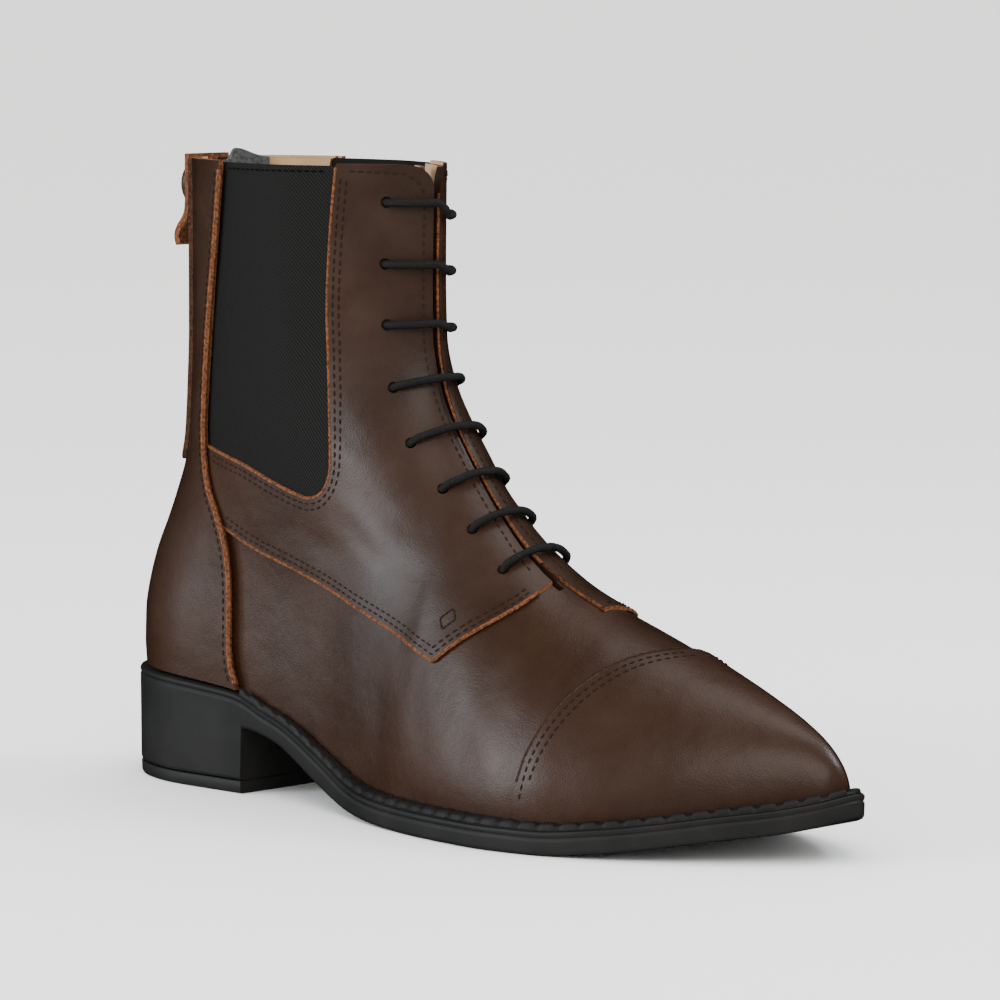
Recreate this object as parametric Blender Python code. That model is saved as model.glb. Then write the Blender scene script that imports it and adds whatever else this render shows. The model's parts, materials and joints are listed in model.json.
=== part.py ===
"""Laced paddock boot for the right foot, with elastic side panels and a zip at the back.

The heel's back is at the low end of X, the toe points to +X, the outer side of the foot is -Y, and the sole stands
on z = 0. Every piece is cut from one surface function, the outside of the boot over its last.
"""

import bmesh
import bpy
import numpy as np
from mathutils import Matrix, Vector

# Named sizes, in metres.
SOLE_LENGTH = 0.2850
SOLE_WIDTH = 0.0958
BOOT_HEIGHT = 0.1960
HEEL_LENGTH = 0.0683
HEEL_HEIGHT = 0.0205
TOP_PIECE = 0.0040
TOE_SPRING = 0.0129
EDGE = 0.0072
WELT_HEIGHT = 0.0022
WALL = 0.0018
QUARTER = 0.0012
STAY_THICKNESS = 0.0015
CAP_THICKNESS = 0.0011
GORE_THICKNESS = 0.0017
INSOLE_THICKNESS = 0.0020
TONGUE_THICKNESS = 0.0020
LACE_RADIUS = 0.0012
HOLE_RADIUS = 0.0024
SLIT = 0.0030
CORNER = 0.0075
ZIP_SLOT = 0.0120
ZIP_FACING = 0.0012
ZIP_TAPE = 0.0009
TAB_WIDTH = 0.0170
TAB_THICKNESS = 0.0022
CAP_RADIUS = 0.0080
CAP_HEIGHT = 0.0042
GUARD_RISE = 0.0025
GUARD_THICKNESS = 0.0016
FACING_REACH = 0.0150
FACING_CORNER = 0.0060
FACING_SLOT = 0.0068
GAP = 0.0003

REAR, TIP = 0.0074, 0.9859  # ends of the foot's outline, as shares of SOLE_LENGTH
HEEL_ROUND, TOE_ROUND = 0.141, 0.1006

# Foot's outline. along: share of SOLE_LENGTH; the rest: shares of SOLE_WIDTH from the line of the heel.
PLAN = (  # along, ridge, lateral, medial
    (0.000, 0.000, 0.314, 0.314), (0.149, 0.000, 0.314, 0.314), (0.240, 0.000, 0.312, 0.314),
    (0.300, 0.000, 0.314, 0.299), (0.364, 0.000, 0.334, 0.269), (0.417, -0.005, 0.362, 0.259),
    (0.468, -0.010, 0.394, 0.269), (0.518, -0.015, 0.426, 0.299), (0.568, -0.015, 0.455, 0.339),
    (0.625, -0.008, 0.482, 0.379), (0.679, 0.008, 0.502, 0.389), (0.719, 0.025, 0.499, 0.379),
    (0.759, 0.040, 0.477, 0.359), (0.806, 0.053, 0.429, 0.316), (0.853, 0.065, 0.359, 0.259),
    (0.894, 0.070, 0.275, 0.207), (0.934, 0.075, 0.203, 0.157), (0.967, 0.080, 0.158, 0.128),
    (0.986, 0.080, 0.148, 0.120),
)
# Underside and seat of the sole. under, seat: shares of HEEL_HEIGHT; spring: share of TOE_SPRING.
SOLE = (  # along, under, seat, spring
    (0.000, 1.000, 1.326, 0.000), (0.115, 1.000, 1.288, 0.000), (0.182, 1.000, 1.233, 0.000),
    (0.229, 1.000, 1.172, 0.000), (0.243, 1.000, 1.122, 0.000), (0.273, 0.944, 0.962, 0.000),
    (0.300, 0.835, 0.851, 0.000), (0.333, 0.628, 0.674, 0.000), (0.367, 0.409, 0.470, 0.000),
    (0.401, 0.233, 0.284, 0.000), (0.434, 0.107, 0.126, 0.000), (0.468, 0.042, 0.042, 0.000),
    (0.518, 0.009, 0.009, 0.000), (0.551, 0.000, 0.000, 0.000), (0.736, 0.000, 0.000, 0.000),
    (0.806, 0.000, 0.000, 0.141), (0.853, 0.000, 0.000, 0.296), (0.907, 0.000, 0.000, 0.511),
    (0.947, 0.000, 0.000, 0.652), (0.984, 0.000, 0.000, 0.859), (1.000, 0.000, 0.000, 1.000),
)
MARGIN = (  # along, margin: width of the sole's edge beyond the foot's outline
    (0.000, 0.0021), (0.240, 0.0017), (0.364, 0.0031), (0.518, 0.0048), (0.880, 0.0048), (0.990, 0.0040),
)
# Side view of the front and the back. height: share of BOOT_HEIGHT; along: share of SOLE_LENGTH.
FRONT = (  # height, along
    (0.0927, 0.9859), (0.1122, 0.9856), (0.1317, 0.9809), (0.1561, 0.9675), (0.1805, 0.9473), (0.2000, 0.9239),
    (0.2195, 0.8953), (0.2415, 0.8601), (0.2659, 0.8199), (0.2927, 0.7762), (0.3195, 0.7293), (0.3439, 0.6857),
    (0.3732, 0.6387), (0.4098, 0.5968), (0.4463, 0.5616), (0.4878, 0.5297), (0.5366, 0.4995), (0.5951, 0.4710),
    (0.6585, 0.4509), (0.7317, 0.4408), (0.8293, 0.4391), (0.9268, 0.4398), (1.0500, 0.4410),
)
BACK = (  # height, along
    (0.1463, 0.0094), (0.1756, 0.0074), (0.2195, 0.0047), (0.2683, 0.0047), (0.3171, 0.0091), (0.3659, 0.0181),
    (0.4146, 0.0332), (0.4634, 0.0483), (0.5122, 0.0624), (0.5610, 0.0718), (0.6341, 0.0768), (0.7317, 0.0802),
    (0.8293, 0.0802), (1.0500, 0.0802),
)
SHAFT = (  # height, half: half breadth of the shaft, share of SOLE_WIDTH
    (0.2927, 0.3393), (0.4390, 0.3244), (0.5366, 0.3094), (0.6829, 0.2994), (0.8293, 0.2944), (1.0500, 0.2994),
)
# Seam lines in side view. along: share of SOLE_LENGTH; height: share of BOOT_HEIGHT.
GORE = (  # along, height: opening of the elastic panel
    (0.1940, 1.0350), (0.1808, 0.9298), (0.1657, 0.8088), (0.1540, 0.6878), (0.1456, 0.5951), (0.1440, 0.5434),
    (0.1560, 0.5415), (0.1825, 0.5341), (0.2308, 0.5220), (0.2848, 0.4971), (0.3200, 0.4824), (0.3368, 0.4785),
    (0.3536, 0.4863), (0.3646, 0.5098), (0.3656, 0.5459), (0.3552, 0.6195), (0.3452, 0.6995), (0.3418, 0.7805),
    (0.3459, 0.8976), (0.3560, 1.0350),
)
STAY = (  # along, height: front edge of the backstay
    (0.1980, 1.0350), (0.1805, 0.8810), (0.1634, 0.7590), (0.1530, 0.6376), (0.1483, 0.5454), (0.1607, 0.4863),
    (0.1892, 0.4298), (0.2066, 0.3712), (0.2127, 0.2902), (0.2154, 0.2093), (0.2295, 0.1659), (0.2420, 0.0400),
)
QUARTER_LATERAL = (  # along, height: lower edge of the quarter on the outer side
    (0.1758, 0.4244), (0.2452, 0.3907), (0.3022, 0.3702), (0.3697, 0.3429), (0.4183, 0.3200), (0.4804, 0.2937),
    (0.5381, 0.2644), (0.5518, 0.2580), (0.5599, 0.2683), (0.5817, 0.2951), (0.6085, 0.3244), (0.6246, 0.3463),
    (0.6286, 0.3634), (0.6260, 0.4200),
)
QUARTER_MEDIAL = (  # along, height: lower edge of the quarter on the inner side
    (0.1758, 0.4244), (0.2452, 0.3950), (0.3022, 0.3720), (0.3697, 0.3440), (0.4183, 0.3230), (0.4804, 0.3000),
    (0.5481, 0.2720), (0.5850, 0.2560), (0.6000, 0.2570), (0.6250, 0.2850), (0.6560, 0.3080), (0.6800, 0.3230),
    (0.6890, 0.3360), (0.6860, 0.4200),
)
SLIT_LINE = (  # height, aside: the slit between the facings, share of SOLE_WIDTH
    (0.330, -0.010), (0.350, -0.045), (0.385, -0.066), (0.470, -0.038), (0.560, -0.022), (0.700, -0.020),
    (1.050, -0.014),
)
CAP_LINE = (  # aside, along: edge of the toe cap in plan
    (-0.640, 0.6900), (-0.480, 0.7024), (-0.390, 0.7175), (-0.280, 0.7346), (-0.120, 0.7610), (-0.030, 0.7765),
    (0.060, 0.7860), (0.160, 0.7880), (0.260, 0.7790), (0.360, 0.7620), (0.520, 0.7350),
)
EYES = (  # along, height, drop: lace holes of the outer side, and how much lower those of the inner side are
    (0.4019, 0.9410, 0.020), (0.4002, 0.8454, 0.012), (0.4022, 0.7512, 0.008), (0.4156, 0.6556, 0.000),
    (0.4478, 0.5732, 0.000), (0.4918, 0.5063, 0.000), (0.5361, 0.4488, 0.000), (0.5850, 0.3932, 0.000),
)
ZIP_LOW = 0.548  # lower end of the zip, share of BOOT_HEIGHT
SLIT_LOW = 0.372
ROWS, COLUMNS = 17, 26


def curve(table, column, at):
    """Value of a table's column, smooth and with no overshoot between the rows."""
    rows = np.array(table, float)
    x, y = rows[:, 0], rows[:, column]
    step = np.diff(x)
    rise = np.diff(y) / step
    slope = np.zeros(len(x))
    slope[0], slope[-1] = rise[0], rise[-1]
    same = rise[:-1] * rise[1:] > 0
    near, far = 2 * step[1:] + step[:-1], step[1:] + 2 * step[:-1]
    slope[1:-1][same] = ((near + far)[same]) / (near[same] / rise[:-1][same] + far[same] / rise[1:][same])
    at = np.clip(at, x[0], x[-1])
    i = np.clip(np.searchsorted(x, at, side="right") - 1, 0, len(x) - 2)
    t = (at - x[i]) / step[i]
    return (
        y[i] * (1 + 2 * t) * (1 - t) ** 2
        + slope[i] * step[i] * t * (1 - t) ** 2
        + y[i + 1] * t * t * (3 - 2 * t)
        + slope[i + 1] * step[i] * t * t * (t - 1)
    )


def smooth(low, high, at):
    t = np.clip((at - low) / (high - low), 0, 1)
    return t * t * (3 - 2 * t)


def front_at(z):
    return SOLE_LENGTH * curve(FRONT, 1, z / BOOT_HEIGHT)


def back_at(z):
    return SOLE_LENGTH * curve(BACK, 1, z / BOOT_HEIGHT)


def ridge_at(x):
    table = [(along, height) for height, along in reversed(FRONT)][1:]
    return BOOT_HEIGHT * curve(table, 1, x / SOLE_LENGTH)


def seat_at(x):
    """Height of the sole's upper face, where the upper stands."""
    share = x / SOLE_LENGTH
    return EDGE + HEEL_HEIGHT * curve(SOLE, 2, share) + TOE_SPRING * curve(SOLE, 3, share)


def under_at(x):
    share = x / SOLE_LENGTH
    return HEEL_HEIGHT * curve(SOLE, 1, share) + TOE_SPRING * curve(SOLE, 3, share)


def ridge_aside(x):
    return SOLE_WIDTH * curve(PLAN, 1, x / SOLE_LENGTH)


def breadth(x, z, side):
    """Distance of the boot's outside from its ridge line, at a place in side view."""
    share = x / SOLE_LENGTH
    half = SOLE_WIDTH * curve(PLAN, 2 if side < 0 else 3, share)
    seat, throat = seat_at(x), 0.521 * SOLE_LENGTH
    crown = 0.732 * BOOT_HEIGHT
    inner = crown - (crown - ridge_at(throat)) * smooth(0.367, 0.521, share)
    crest = np.minimum(np.where(x < throat, inner, ridge_at(x)), crown)
    up = np.clip((z - seat) / np.maximum(crest - seat, 1e-9), 0, 1)
    dome = np.maximum(1 - up**1.75, 0) ** (1 / 1.9) * (1 + 0.16 * up * (1 - up) ** 2 * smooth(0.384, 0.585, share))
    heel = np.clip((x - back_at(z)) / (HEEL_ROUND * SOLE_LENGTH), 0, 1)
    toe = np.clip((TIP - share) / TOE_ROUND, 0, 1)
    foot = half * dome * np.sqrt(1 - (1 - heel) ** 2) * np.sqrt(1 - (1 - toe) ** 2)
    back, front = back_at(z), front_at(z)
    u = np.clip((x - back) / np.maximum(front - back, 1e-9), 0, 1)
    power = 2.1 - (0.6 - 0.55 * (1 - smooth(0.488, 0.732, z / BOOT_HEIGHT))) * smooth(0.4, 0.7, u)
    shaft = SOLE_WIDTH * curve(SHAFT, 1, z / BOOT_HEIGHT)
    shaft = shaft * np.maximum(1 - np.abs(2 * u - 1) ** power, 0) ** (1 / power)
    blend = smooth(0.254, 0.585, z / BOOT_HEIGHT)
    return (1 - blend) * foot + blend * shaft


def stations(columns=COLUMNS):
    """Places along the foot from 0 to 1, close together at both ends, one of them at the heel's breast."""
    plain = np.linspace(0, 1, columns + 1)
    breast = np.arccos(1 - 2 * (HEEL_LENGTH / SOLE_LENGTH - REAR) / (TIP - REAR)) / np.pi
    near = plain[np.argmin(np.abs(plain - breast))]
    moved = np.where(plain < near, plain * breast / near, 1 - (1 - plain) * (1 - breast) / (1 - near))
    return (1 - np.cos(np.pi * moved)) / 2


def ring(level, columns=COLUMNS, lift=0.0):
    """Points round the boot at one level, 0 at the sole and 1 at the collar: from the back by the outer side."""
    t = stations(columns)
    foot = SOLE_LENGTH * (REAR + t * (TIP - REAR))
    low_back, low_front = seat_at(foot[0]) + lift, seat_at(foot[-1]) + lift
    back_z = low_back + (BOOT_HEIGHT - low_back) * level
    steps = ((0, low_front), (0.12, 0.161), (0.3, 0.244), (0.5, 0.371), (0.7, 0.585), (0.85, 0.795), (1, 1.0))
    steps = [(a, b if i == 0 else b * BOOT_HEIGHT) for i, (a, b) in enumerate(steps)]
    front_z = curve(steps, 1, np.array([level]))[0]
    back_x, front_x = back_at(np.array([back_z]))[0], front_at(np.array([front_z]))[0]
    x = back_x + t * (front_x - back_x)
    z = back_z + t * (front_z - back_z)
    sag = seat_at(foot) + lift - (low_back + t * (low_front - low_back))
    z = z + sag * (1 - level) ** 2
    sides = []
    for side in (-1, 1):
        out = breadth(x, z, side)
        out[0] = out[-1] = 0
        sides.append(np.stack([x, ridge_aside(x) + side * out, z], axis=1))
    return np.concatenate([sides[0], sides[1][1:-1][::-1]])


def normals_of(grid):
    """Outward normals of a grid of points whose columns close on themselves."""
    along = np.roll(grid, -1, axis=1) - np.roll(grid, 1, axis=1)
    up = np.gradient(grid, axis=0)
    normal = np.cross(along, up)
    return normal / np.maximum(np.linalg.norm(normal, axis=2, keepdims=True), 1e-12)


def base_offset(x):
    """How far the vamp's surface lies inside the boot's outside: deeper at the back, under three layers."""
    return -(0.0013 + 0.0017 * (1 - smooth(0.14, 0.31, x / SOLE_LENGTH)))


def shell_grid(height, low=0.0, high=1.0, rows=ROWS, columns=COLUMNS):
    """The boot's surface moved out by a height from the vamp's, as rows of rings."""
    grid = np.array([ring(level, columns, GAP) for level in np.linspace(0, 1, 61)])
    normal = normals_of(grid)
    normal[0, :, 2] = 0
    normal[0] /= np.linalg.norm(normal[0], axis=1)[:, None]
    moved = grid + normal * (base_offset(grid[:, :, :1]) + height)
    moved[-1, :, 2] = grid[-1, :, 2]
    place = np.linspace(low, high, rows + 1) * 60
    i = np.minimum(place.astype(int), 59)
    part = (place - i)[:, None, None]
    return moved[i] * (1 - part) + moved[i + 1] * part


def mesh_object(name, points, faces):
    mesh = bpy.data.meshes.new(name)
    mesh.from_pydata([tuple(p) for p in np.asarray(points, float).tolist()], [], faces)
    obj = bpy.data.objects.new(name, mesh)
    bpy.context.scene.collection.objects.link(obj)
    body = bmesh.new()
    body.from_mesh(mesh)
    bmesh.ops.triangulate(body, faces=body.faces)
    bmesh.ops.recalc_face_normals(body, faces=body.faces)
    if body.calc_volume(signed=True) < 0:
        bmesh.ops.reverse_faces(body, faces=body.faces)
    body.to_mesh(mesh)
    body.free()
    return obj


def slab(name, outer, inner, closed):
    """A sheet between two grids of points, its columns closed in a ring or open."""
    rows, columns = outer.shape[:2]
    count = rows * columns
    faces = []
    last = columns if closed else columns - 1
    for r in range(rows - 1):
        for c in range(last):
            a, b = r * columns + c, r * columns + (c + 1) % columns
            faces.append((a, b, b + columns, a + columns))
            faces.append((count + a, count + a + columns, count + b + columns, count + b))
    for c in range(last):
        a, b = c, (c + 1) % columns
        top = (rows - 1) * columns
        faces.append((a, count + a, count + b, b))
        faces.append((top + a, top + b, count + top + b, count + top + a))
    if not closed:
        for r in range(rows - 1):
            a, b = r * columns, (r + 1) * columns
            faces.append((a, b, count + b, count + a))
            a, b = a + columns - 1, b + columns - 1
            faces.append((a, count + a, count + b, b))
    return mesh_object(name, np.concatenate([outer.reshape(-1, 3), inner.reshape(-1, 3)]), faces)


def prism(name, outline, near, far, axis):
    """A closed outline in the plane across an axis, drawn out along it from near to far."""
    outline = np.asarray(outline, float)
    count = len(outline)
    points = []
    for end in (near, far):
        ends = np.broadcast_to(np.asarray(end, float), (count,))
        points.append(np.insert(outline, axis, 0, axis=1))
        points[-1][:, axis] = ends
    faces = [tuple(range(count)), tuple(range(2 * count - 1, count - 1, -1))]
    faces += [(i, (i + 1) % count, count + (i + 1) % count, count + i) for i in range(count)]
    return mesh_object(name, np.concatenate(points), faces)


def combine(obj, other, operation):
    """Applies a Boolean and takes the other object away."""
    modifier = obj.modifiers.new(operation, "BOOLEAN")
    modifier.operation = operation
    modifier.object = other
    modifier.solver = "EXACT"
    graph = bpy.context.evaluated_depsgraph_get()
    mesh = bpy.data.meshes.new_from_object(obj.evaluated_get(graph))
    obj.modifiers.clear()
    obj.data = mesh
    bpy.data.objects.remove(other, do_unlink=True)
    return obj


def side_outline(table):
    return [(along * SOLE_LENGTH, height * BOOT_HEIGHT) for along, height in table]


def slit_aside(z):
    return SOLE_WIDTH * curve(SLIT_LINE, 1, z / BOOT_HEIGHT)


def inset(outline, by):
    """The outline moved inwards by a distance, corner by corner."""
    points = np.asarray(outline, float)
    before, after = points - np.roll(points, 1, axis=0), np.roll(points, -1, axis=0) - points
    before /= np.linalg.norm(before, axis=1)[:, None]
    after /= np.linalg.norm(after, axis=1)[:, None]
    mean = before + after
    across = np.stack([-mean[:, 1], mean[:, 0]], axis=1)
    across /= np.linalg.norm(across, axis=1)[:, None]
    area = np.sum(points[:, 0] * np.roll(points[:, 1], -1) - points[:, 1] * np.roll(points[:, 0], -1))
    half = np.maximum(np.sqrt((1 + np.sum(before * after, axis=1)) / 2), 0.4)
    return points + across * np.sign(area) * (by / half)[:, None]


def gore_cutter(side, by=0.0):
    outline = inset(side_outline(GORE), by)
    return prism("gore_cutter", outline, side * 0.002, side * 0.09, 1)


def quarter_region(side):
    """All of the boot that the quarter covers on one side, up to the slit."""
    lower = side_outline(QUARTER_LATERAL if side < 0 else QUARTER_MEDIAL)
    top, back, base = 1.1 * BOOT_HEIGHT, -0.03, -0.01
    under_stay = side_outline([(along - 0.004, height) for along, height in reversed(STAY) if height < 0.40])
    start = (0.1925 * SOLE_LENGTH, 0.4178 * BOOT_HEIGHT)
    outline = [(back, base), (under_stay[0][0], base), *under_stay, start, *lower[1:],
               (0.72 * SOLE_LENGTH, 0.46 * BOOT_HEIGHT),
               (0.60 * SOLE_LENGTH, top), (back, top)]
    outline = np.array(outline)
    aside = slit_aside(outline[:, 1]) * smooth(0.40, 0.50, outline[:, 0] / SOLE_LENGTH)
    return prism("quarter_region", outline, aside - side * 0.0008, side * 0.09, 1)


def slit_cutter():
    """The slit down the front, wider where the corners of the collar are rounded."""
    z = np.concatenate([np.linspace(SLIT_LOW, 0.94, 14), [0.955, 0.97, 0.985, 1.0, 1.06]]) * BOOT_HEIGHT
    down = np.clip((z - (BOOT_HEIGHT - CORNER)) / CORNER, 0, 1)
    wide = SLIT / 2 + CORNER * (1 - np.sqrt(1 - down**2))
    x, aside = front_at(z), slit_aside(z)
    slope = np.gradient(x, z)
    normal = np.stack([np.ones_like(slope), -slope], axis=1)
    normal /= np.linalg.norm(normal, axis=1)[:, None]
    points, faces = [], []
    for i in range(len(z)):
        for reach, sign in ((0.008, -1), (0.008, 1), (-0.012, 1), (-0.012, -1)):
            points.append((x[i] + reach * normal[i, 0], aside[i] + sign * wide[i], z[i] + reach * normal[i, 1]))
    for i in range(len(z) - 1):
        for k in range(4):
            a, b = 4 * i + k, 4 * i + (k + 1) % 4
            faces.append((a, b, b + 4, a + 4))
    faces += [(3, 2, 1, 0), tuple(4 * (len(z) - 1) + k for k in range(4))]
    return mesh_object("slit_cutter", points, faces)


def skin(x, z, side, height):
    """A point at a height over the vamp's surface, from its place in side view, and the normal there."""
    x, z = np.atleast_1d(np.asarray(x, float)), np.atleast_1d(np.asarray(z, float))
    step = 2e-4
    out = breadth(x, z, side)
    dx = (breadth(x + step, z, side) - breadth(x - step, z, side)) / (2 * step)
    dz = (breadth(x, z + step, side) - breadth(x, z - step, side)) / (2 * step)
    normal = np.stack([-dx, np.full_like(dx, side), -dz], axis=1)
    normal /= np.linalg.norm(normal, axis=1)[:, None]
    point = np.stack([x, ridge_aside(x) + side * out, z], axis=1)
    return point + normal * (base_offset(x) + height)[:, None], normal


def eye_places(side):
    """Lace holes of one side in side view, from the top."""
    return [(along * SOLE_LENGTH, (height - (drop if side > 0 else 0)) * BOOT_HEIGHT) for along, height, drop in EYES]


def rod(name, start, end, radius, sides=8):
    """A round bar between two points."""
    start, end = Vector(start), Vector(end)
    place = Matrix.Translation((start + end) / 2) @ (end - start).to_track_quat("Z", "Y").to_matrix().to_4x4()
    body = bmesh.new()
    bmesh.ops.create_cone(body, cap_ends=True, segments=sides, radius1=radius, radius2=radius,
                          depth=(end - start).length, matrix=place)
    mesh = bpy.data.meshes.new(name)
    body.to_mesh(mesh)
    body.free()
    obj = bpy.data.objects.new(name, mesh)
    bpy.context.scene.collection.objects.link(obj)
    return obj


def zip_cutter(width, low):
    outline = [(-width / 2, low), (width / 2, low), (width / 2, 1.1 * BOOT_HEIGHT), (-width / 2, 1.1 * BOOT_HEIGHT)]
    return prism("zip_cutter", outline, -0.03, 0.045, 0)


def make_upper():
    upper = slab("upper", shell_grid(0, 0, 0.996), shell_grid(-WALL, 0, 0.996), True)
    quarter = slab("quarter", shell_grid(QUARTER, 0.012, 1), shell_grid(-0.45 * WALL, 0.012, 1), True)
    other = quarter.copy()
    other.data = quarter.data.copy()
    bpy.context.scene.collection.objects.link(other)
    for half, side in ((quarter, -1), (other, 1)):
        combine(half, quarter_region(side), "INTERSECT")
        combine(upper, half, "UNION")
    combine(upper, slit_cutter(), "DIFFERENCE")
    for side in (-1, 1):
        combine(upper, gore_cutter(side), "DIFFERENCE")
        for x, z in eye_places(side):
            point, normal = skin(x, z, side, 0)
            hole = rod("hole", (point - 0.005 * normal)[0], (point + 0.005 * normal)[0], HOLE_RADIUS)
            combine(upper, hole, "DIFFERENCE")
    combine(upper, zip_cutter(ZIP_SLOT, ZIP_LOW * BOOT_HEIGHT), "DIFFERENCE")
    return upper


def make_gore(side):
    outer, inner = shell_grid(0.0007, 0.3, 0.997), shell_grid(0.0007 - GORE_THICKNESS, 0.3, 0.997)
    name = "gore_lateral" if side < 0 else "gore_medial"
    gore = slab(name, outer, inner, True)
    return combine(gore, gore_cutter(side, GAP), "INTERSECT")


def make_backstay():
    low = QUARTER + GAP
    stay = slab("backstay", shell_grid(low + STAY_THICKNESS, 0.004), shell_grid(low, 0.004), True)
    outline = side_outline(STAY) + [(-0.03, 0.04 * BOOT_HEIGHT), (-0.03, 1.035 * BOOT_HEIGHT)]
    combine(stay, prism("stay_region", outline, -0.09, 0.09, 1), "INTERSECT")
    return combine(stay, zip_cutter(ZIP_SLOT, ZIP_LOW * BOOT_HEIGHT), "DIFFERENCE")


def make_toe_cap():
    cap = slab("toe_cap", shell_grid(GAP + CAP_THICKNESS, 0.004, 0.5, 12), shell_grid(GAP, 0.004, 0.5, 12), True)
    edge = [(along * SOLE_LENGTH, aside * SOLE_WIDTH) for aside, along in CAP_LINE]
    outline = edge + [(1.1 * SOLE_LENGTH, 0.52 * SOLE_WIDTH), (1.1 * SOLE_LENGTH, -0.64 * SOLE_WIDTH)]
    return combine(cap, prism("cap_region", outline, 0, BOOT_HEIGHT, 2), "INTERSECT")


def level_ring(lift, margin, columns=COLUMNS):
    """The foot's outline at a height over the sole's seat, moved out by a margin in plan."""
    points = ring(0.0, columns, lift)
    x = SOLE_LENGTH * (REAR + (TIP - REAR) * stations(columns))
    points[:, 0] = np.concatenate([x, x[1:-1][::-1]])
    along = np.roll(points, -1, axis=0) - np.roll(points, 1, axis=0)
    out = np.stack([along[:, 1], -along[:, 0]], axis=1)
    out /= np.linalg.norm(out, axis=1)[:, None]
    points[:, :2] += out * np.broadcast_to(margin, (len(points),))[:, None]
    points[:, 2] = seat_at(points[:, 0]) + lift
    return points


def sole_outline(extra, columns=COLUMNS):
    """The sole's edge in plan, a little inside it where extra is below zero."""
    plain = level_ring(0, 0, columns)
    return level_ring(0, curve(MARGIN, 1, plain[:, 0] / SOLE_LENGTH) + extra, columns)


def paired_caps(count, bottom, top):
    """Faces that close a ring of points at its two ends, side to side."""
    half = count // 2
    faces = []
    for start, turned in ((bottom, False), (top, True)):
        for i in range(half):
            a, b = start + i, start + i + 1
            c, d = start + (count - i - 1) % count, start + (count - i) % count
            face = tuple(dict.fromkeys((a, b, c, d)))
            if len(face) > 2:
                faces.append(face[::-1] if turned else face)
    return faces


def stack_rings(name, rings):
    rings = [np.asarray(r) for r in rings]
    count = len(rings[0])
    faces = paired_caps(count, 0, (len(rings) - 1) * count)
    for r in range(len(rings) - 1):
        for i in range(count):
            a, b = r * count + i, r * count + (i + 1) % count
            faces.append((a, b, b + count, a + count))
    return mesh_object(name, np.concatenate(rings), faces)


def split_at_breast(points):
    """Doubles the column nearest the heel's breast on both sides, so that the underside can step there."""
    half = len(points) // 2
    near = int(np.argmin(np.abs(points[: half + 1, 0] - HEEL_LENGTH)))
    order = list(range(len(points)))
    other = len(points) - near
    order = order[: near + 1] + order[near : other + 1] + order[other:]
    points = points[order]
    for i, x in ((near, -0.0003), (near + 1, 0.0003), (other + 1, 0.0003), (other + 2, -0.0003)):
        points[i, 0] = HEEL_LENGTH + x
    return points, near


def make_outsole():
    """Sole and heel in one: edge with a groove, arched waist, straight breast."""
    rings = []
    for extra, place, add in (
        (-0.0012, "under", 0.0), (-0.0001, "under", 0.0010), (0.0, "seat", -0.0027), (-0.0005, "seat", -0.0023),
        (-0.0005, "seat", -0.0017), (0.0, "seat", -0.0013), (0.0, "seat", -0.0006), (-0.0007, "seat", 0.0),
    ):
        points, near = split_at_breast(sole_outline(extra))
        x = points[:, 0]
        other = len(points) - near
        heel = (np.arange(len(points)) <= near) | (np.arange(len(points)) >= other)
        low = np.where(heel, TOP_PIECE + GAP, under_at(np.maximum(x, HEEL_LENGTH)))
        points[:, 2] = (low if place == "under" else seat_at(x)) + add
        rings.append(points)
    return stack_rings("outsole", rings)


def make_top_piece():
    rings = []
    for extra, z in ((-0.0010, 0.0), (-0.0003, 0.0007), (-0.0003, TOP_PIECE - 0.0004), (-0.0008, TOP_PIECE)):
        points, near = split_at_breast(sole_outline(extra))
        points = np.concatenate([points[len(points) - near :], points[: near + 1]])
        points[:, 2] = z
        rings.append(points)
    count = len(rings[0])
    faces = [tuple(range(count))[::-1], tuple(3 * count + i for i in range(count))]
    for r in range(3):
        for i in range(count):
            a, b = r * count + i, r * count + (i + 1) % count
            faces.append((a, b, b + count, a + count))
    return mesh_object("top_piece", np.concatenate(rings), faces)


def make_welt():
    """Stitched strip round the forepart, from one side of the heel's breast to the other."""
    outline = level_ring(0, 0)
    keep = np.where(outline[:, 0] > HEEL_LENGTH - 0.001)[0]
    margin = curve(MARGIN, 1, outline[:, 0] / SOLE_LENGTH)
    low = outline[:, :2]
    out = level_ring(0, margin)[:, :2]
    sections = []
    for lift, share in ((GAP, 0.0), (WELT_HEIGHT, 0.0), (WELT_HEIGHT, 0.55), (0.6 * WELT_HEIGHT, 0.85), (GAP, 0.85)):
        wall = ring(0.0, COLUMNS, lift)[:, :2]
        swell = np.maximum(np.sum((wall - low) * (out - low), axis=1), 0) / np.maximum(margin, 1e-6) ** 2
        inner = low + (out - low) * np.minimum(swell, 0.35)[:, None] + (out - low) / margin[:, None] * GAP
        place = inner + (out - inner) * share
        sections.append(np.column_stack([place, seat_at(place[:, 0]) + lift])[keep])
    grid = np.array(sections)
    rows, count = grid.shape[:2]
    faces = []
    for r in range(rows):
        for c in range(count - 1):
            a, b = r * count + c, (r + 1) % rows * count + c
            faces.append((a, a + 1, b + 1, b))
    faces += [tuple(r * count for r in range(rows)), tuple(r * count + count - 1 for r in reversed(range(rows)))]
    return mesh_object("welt", grid.reshape(-1, 3), faces)


def make_insole():
    plain = level_ring(0, 0)
    wall = base_offset(plain[:, 0]) - WALL - 3 * GAP
    rings = []
    for extra, lift in ((-0.0004, GAP), (0.0, GAP + 0.4 * INSOLE_THICKNESS), (-0.0006, GAP + INSOLE_THICKNESS)):
        rings.append(level_ring(lift, wall + extra))
    return stack_rings("insole", rings)


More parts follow.
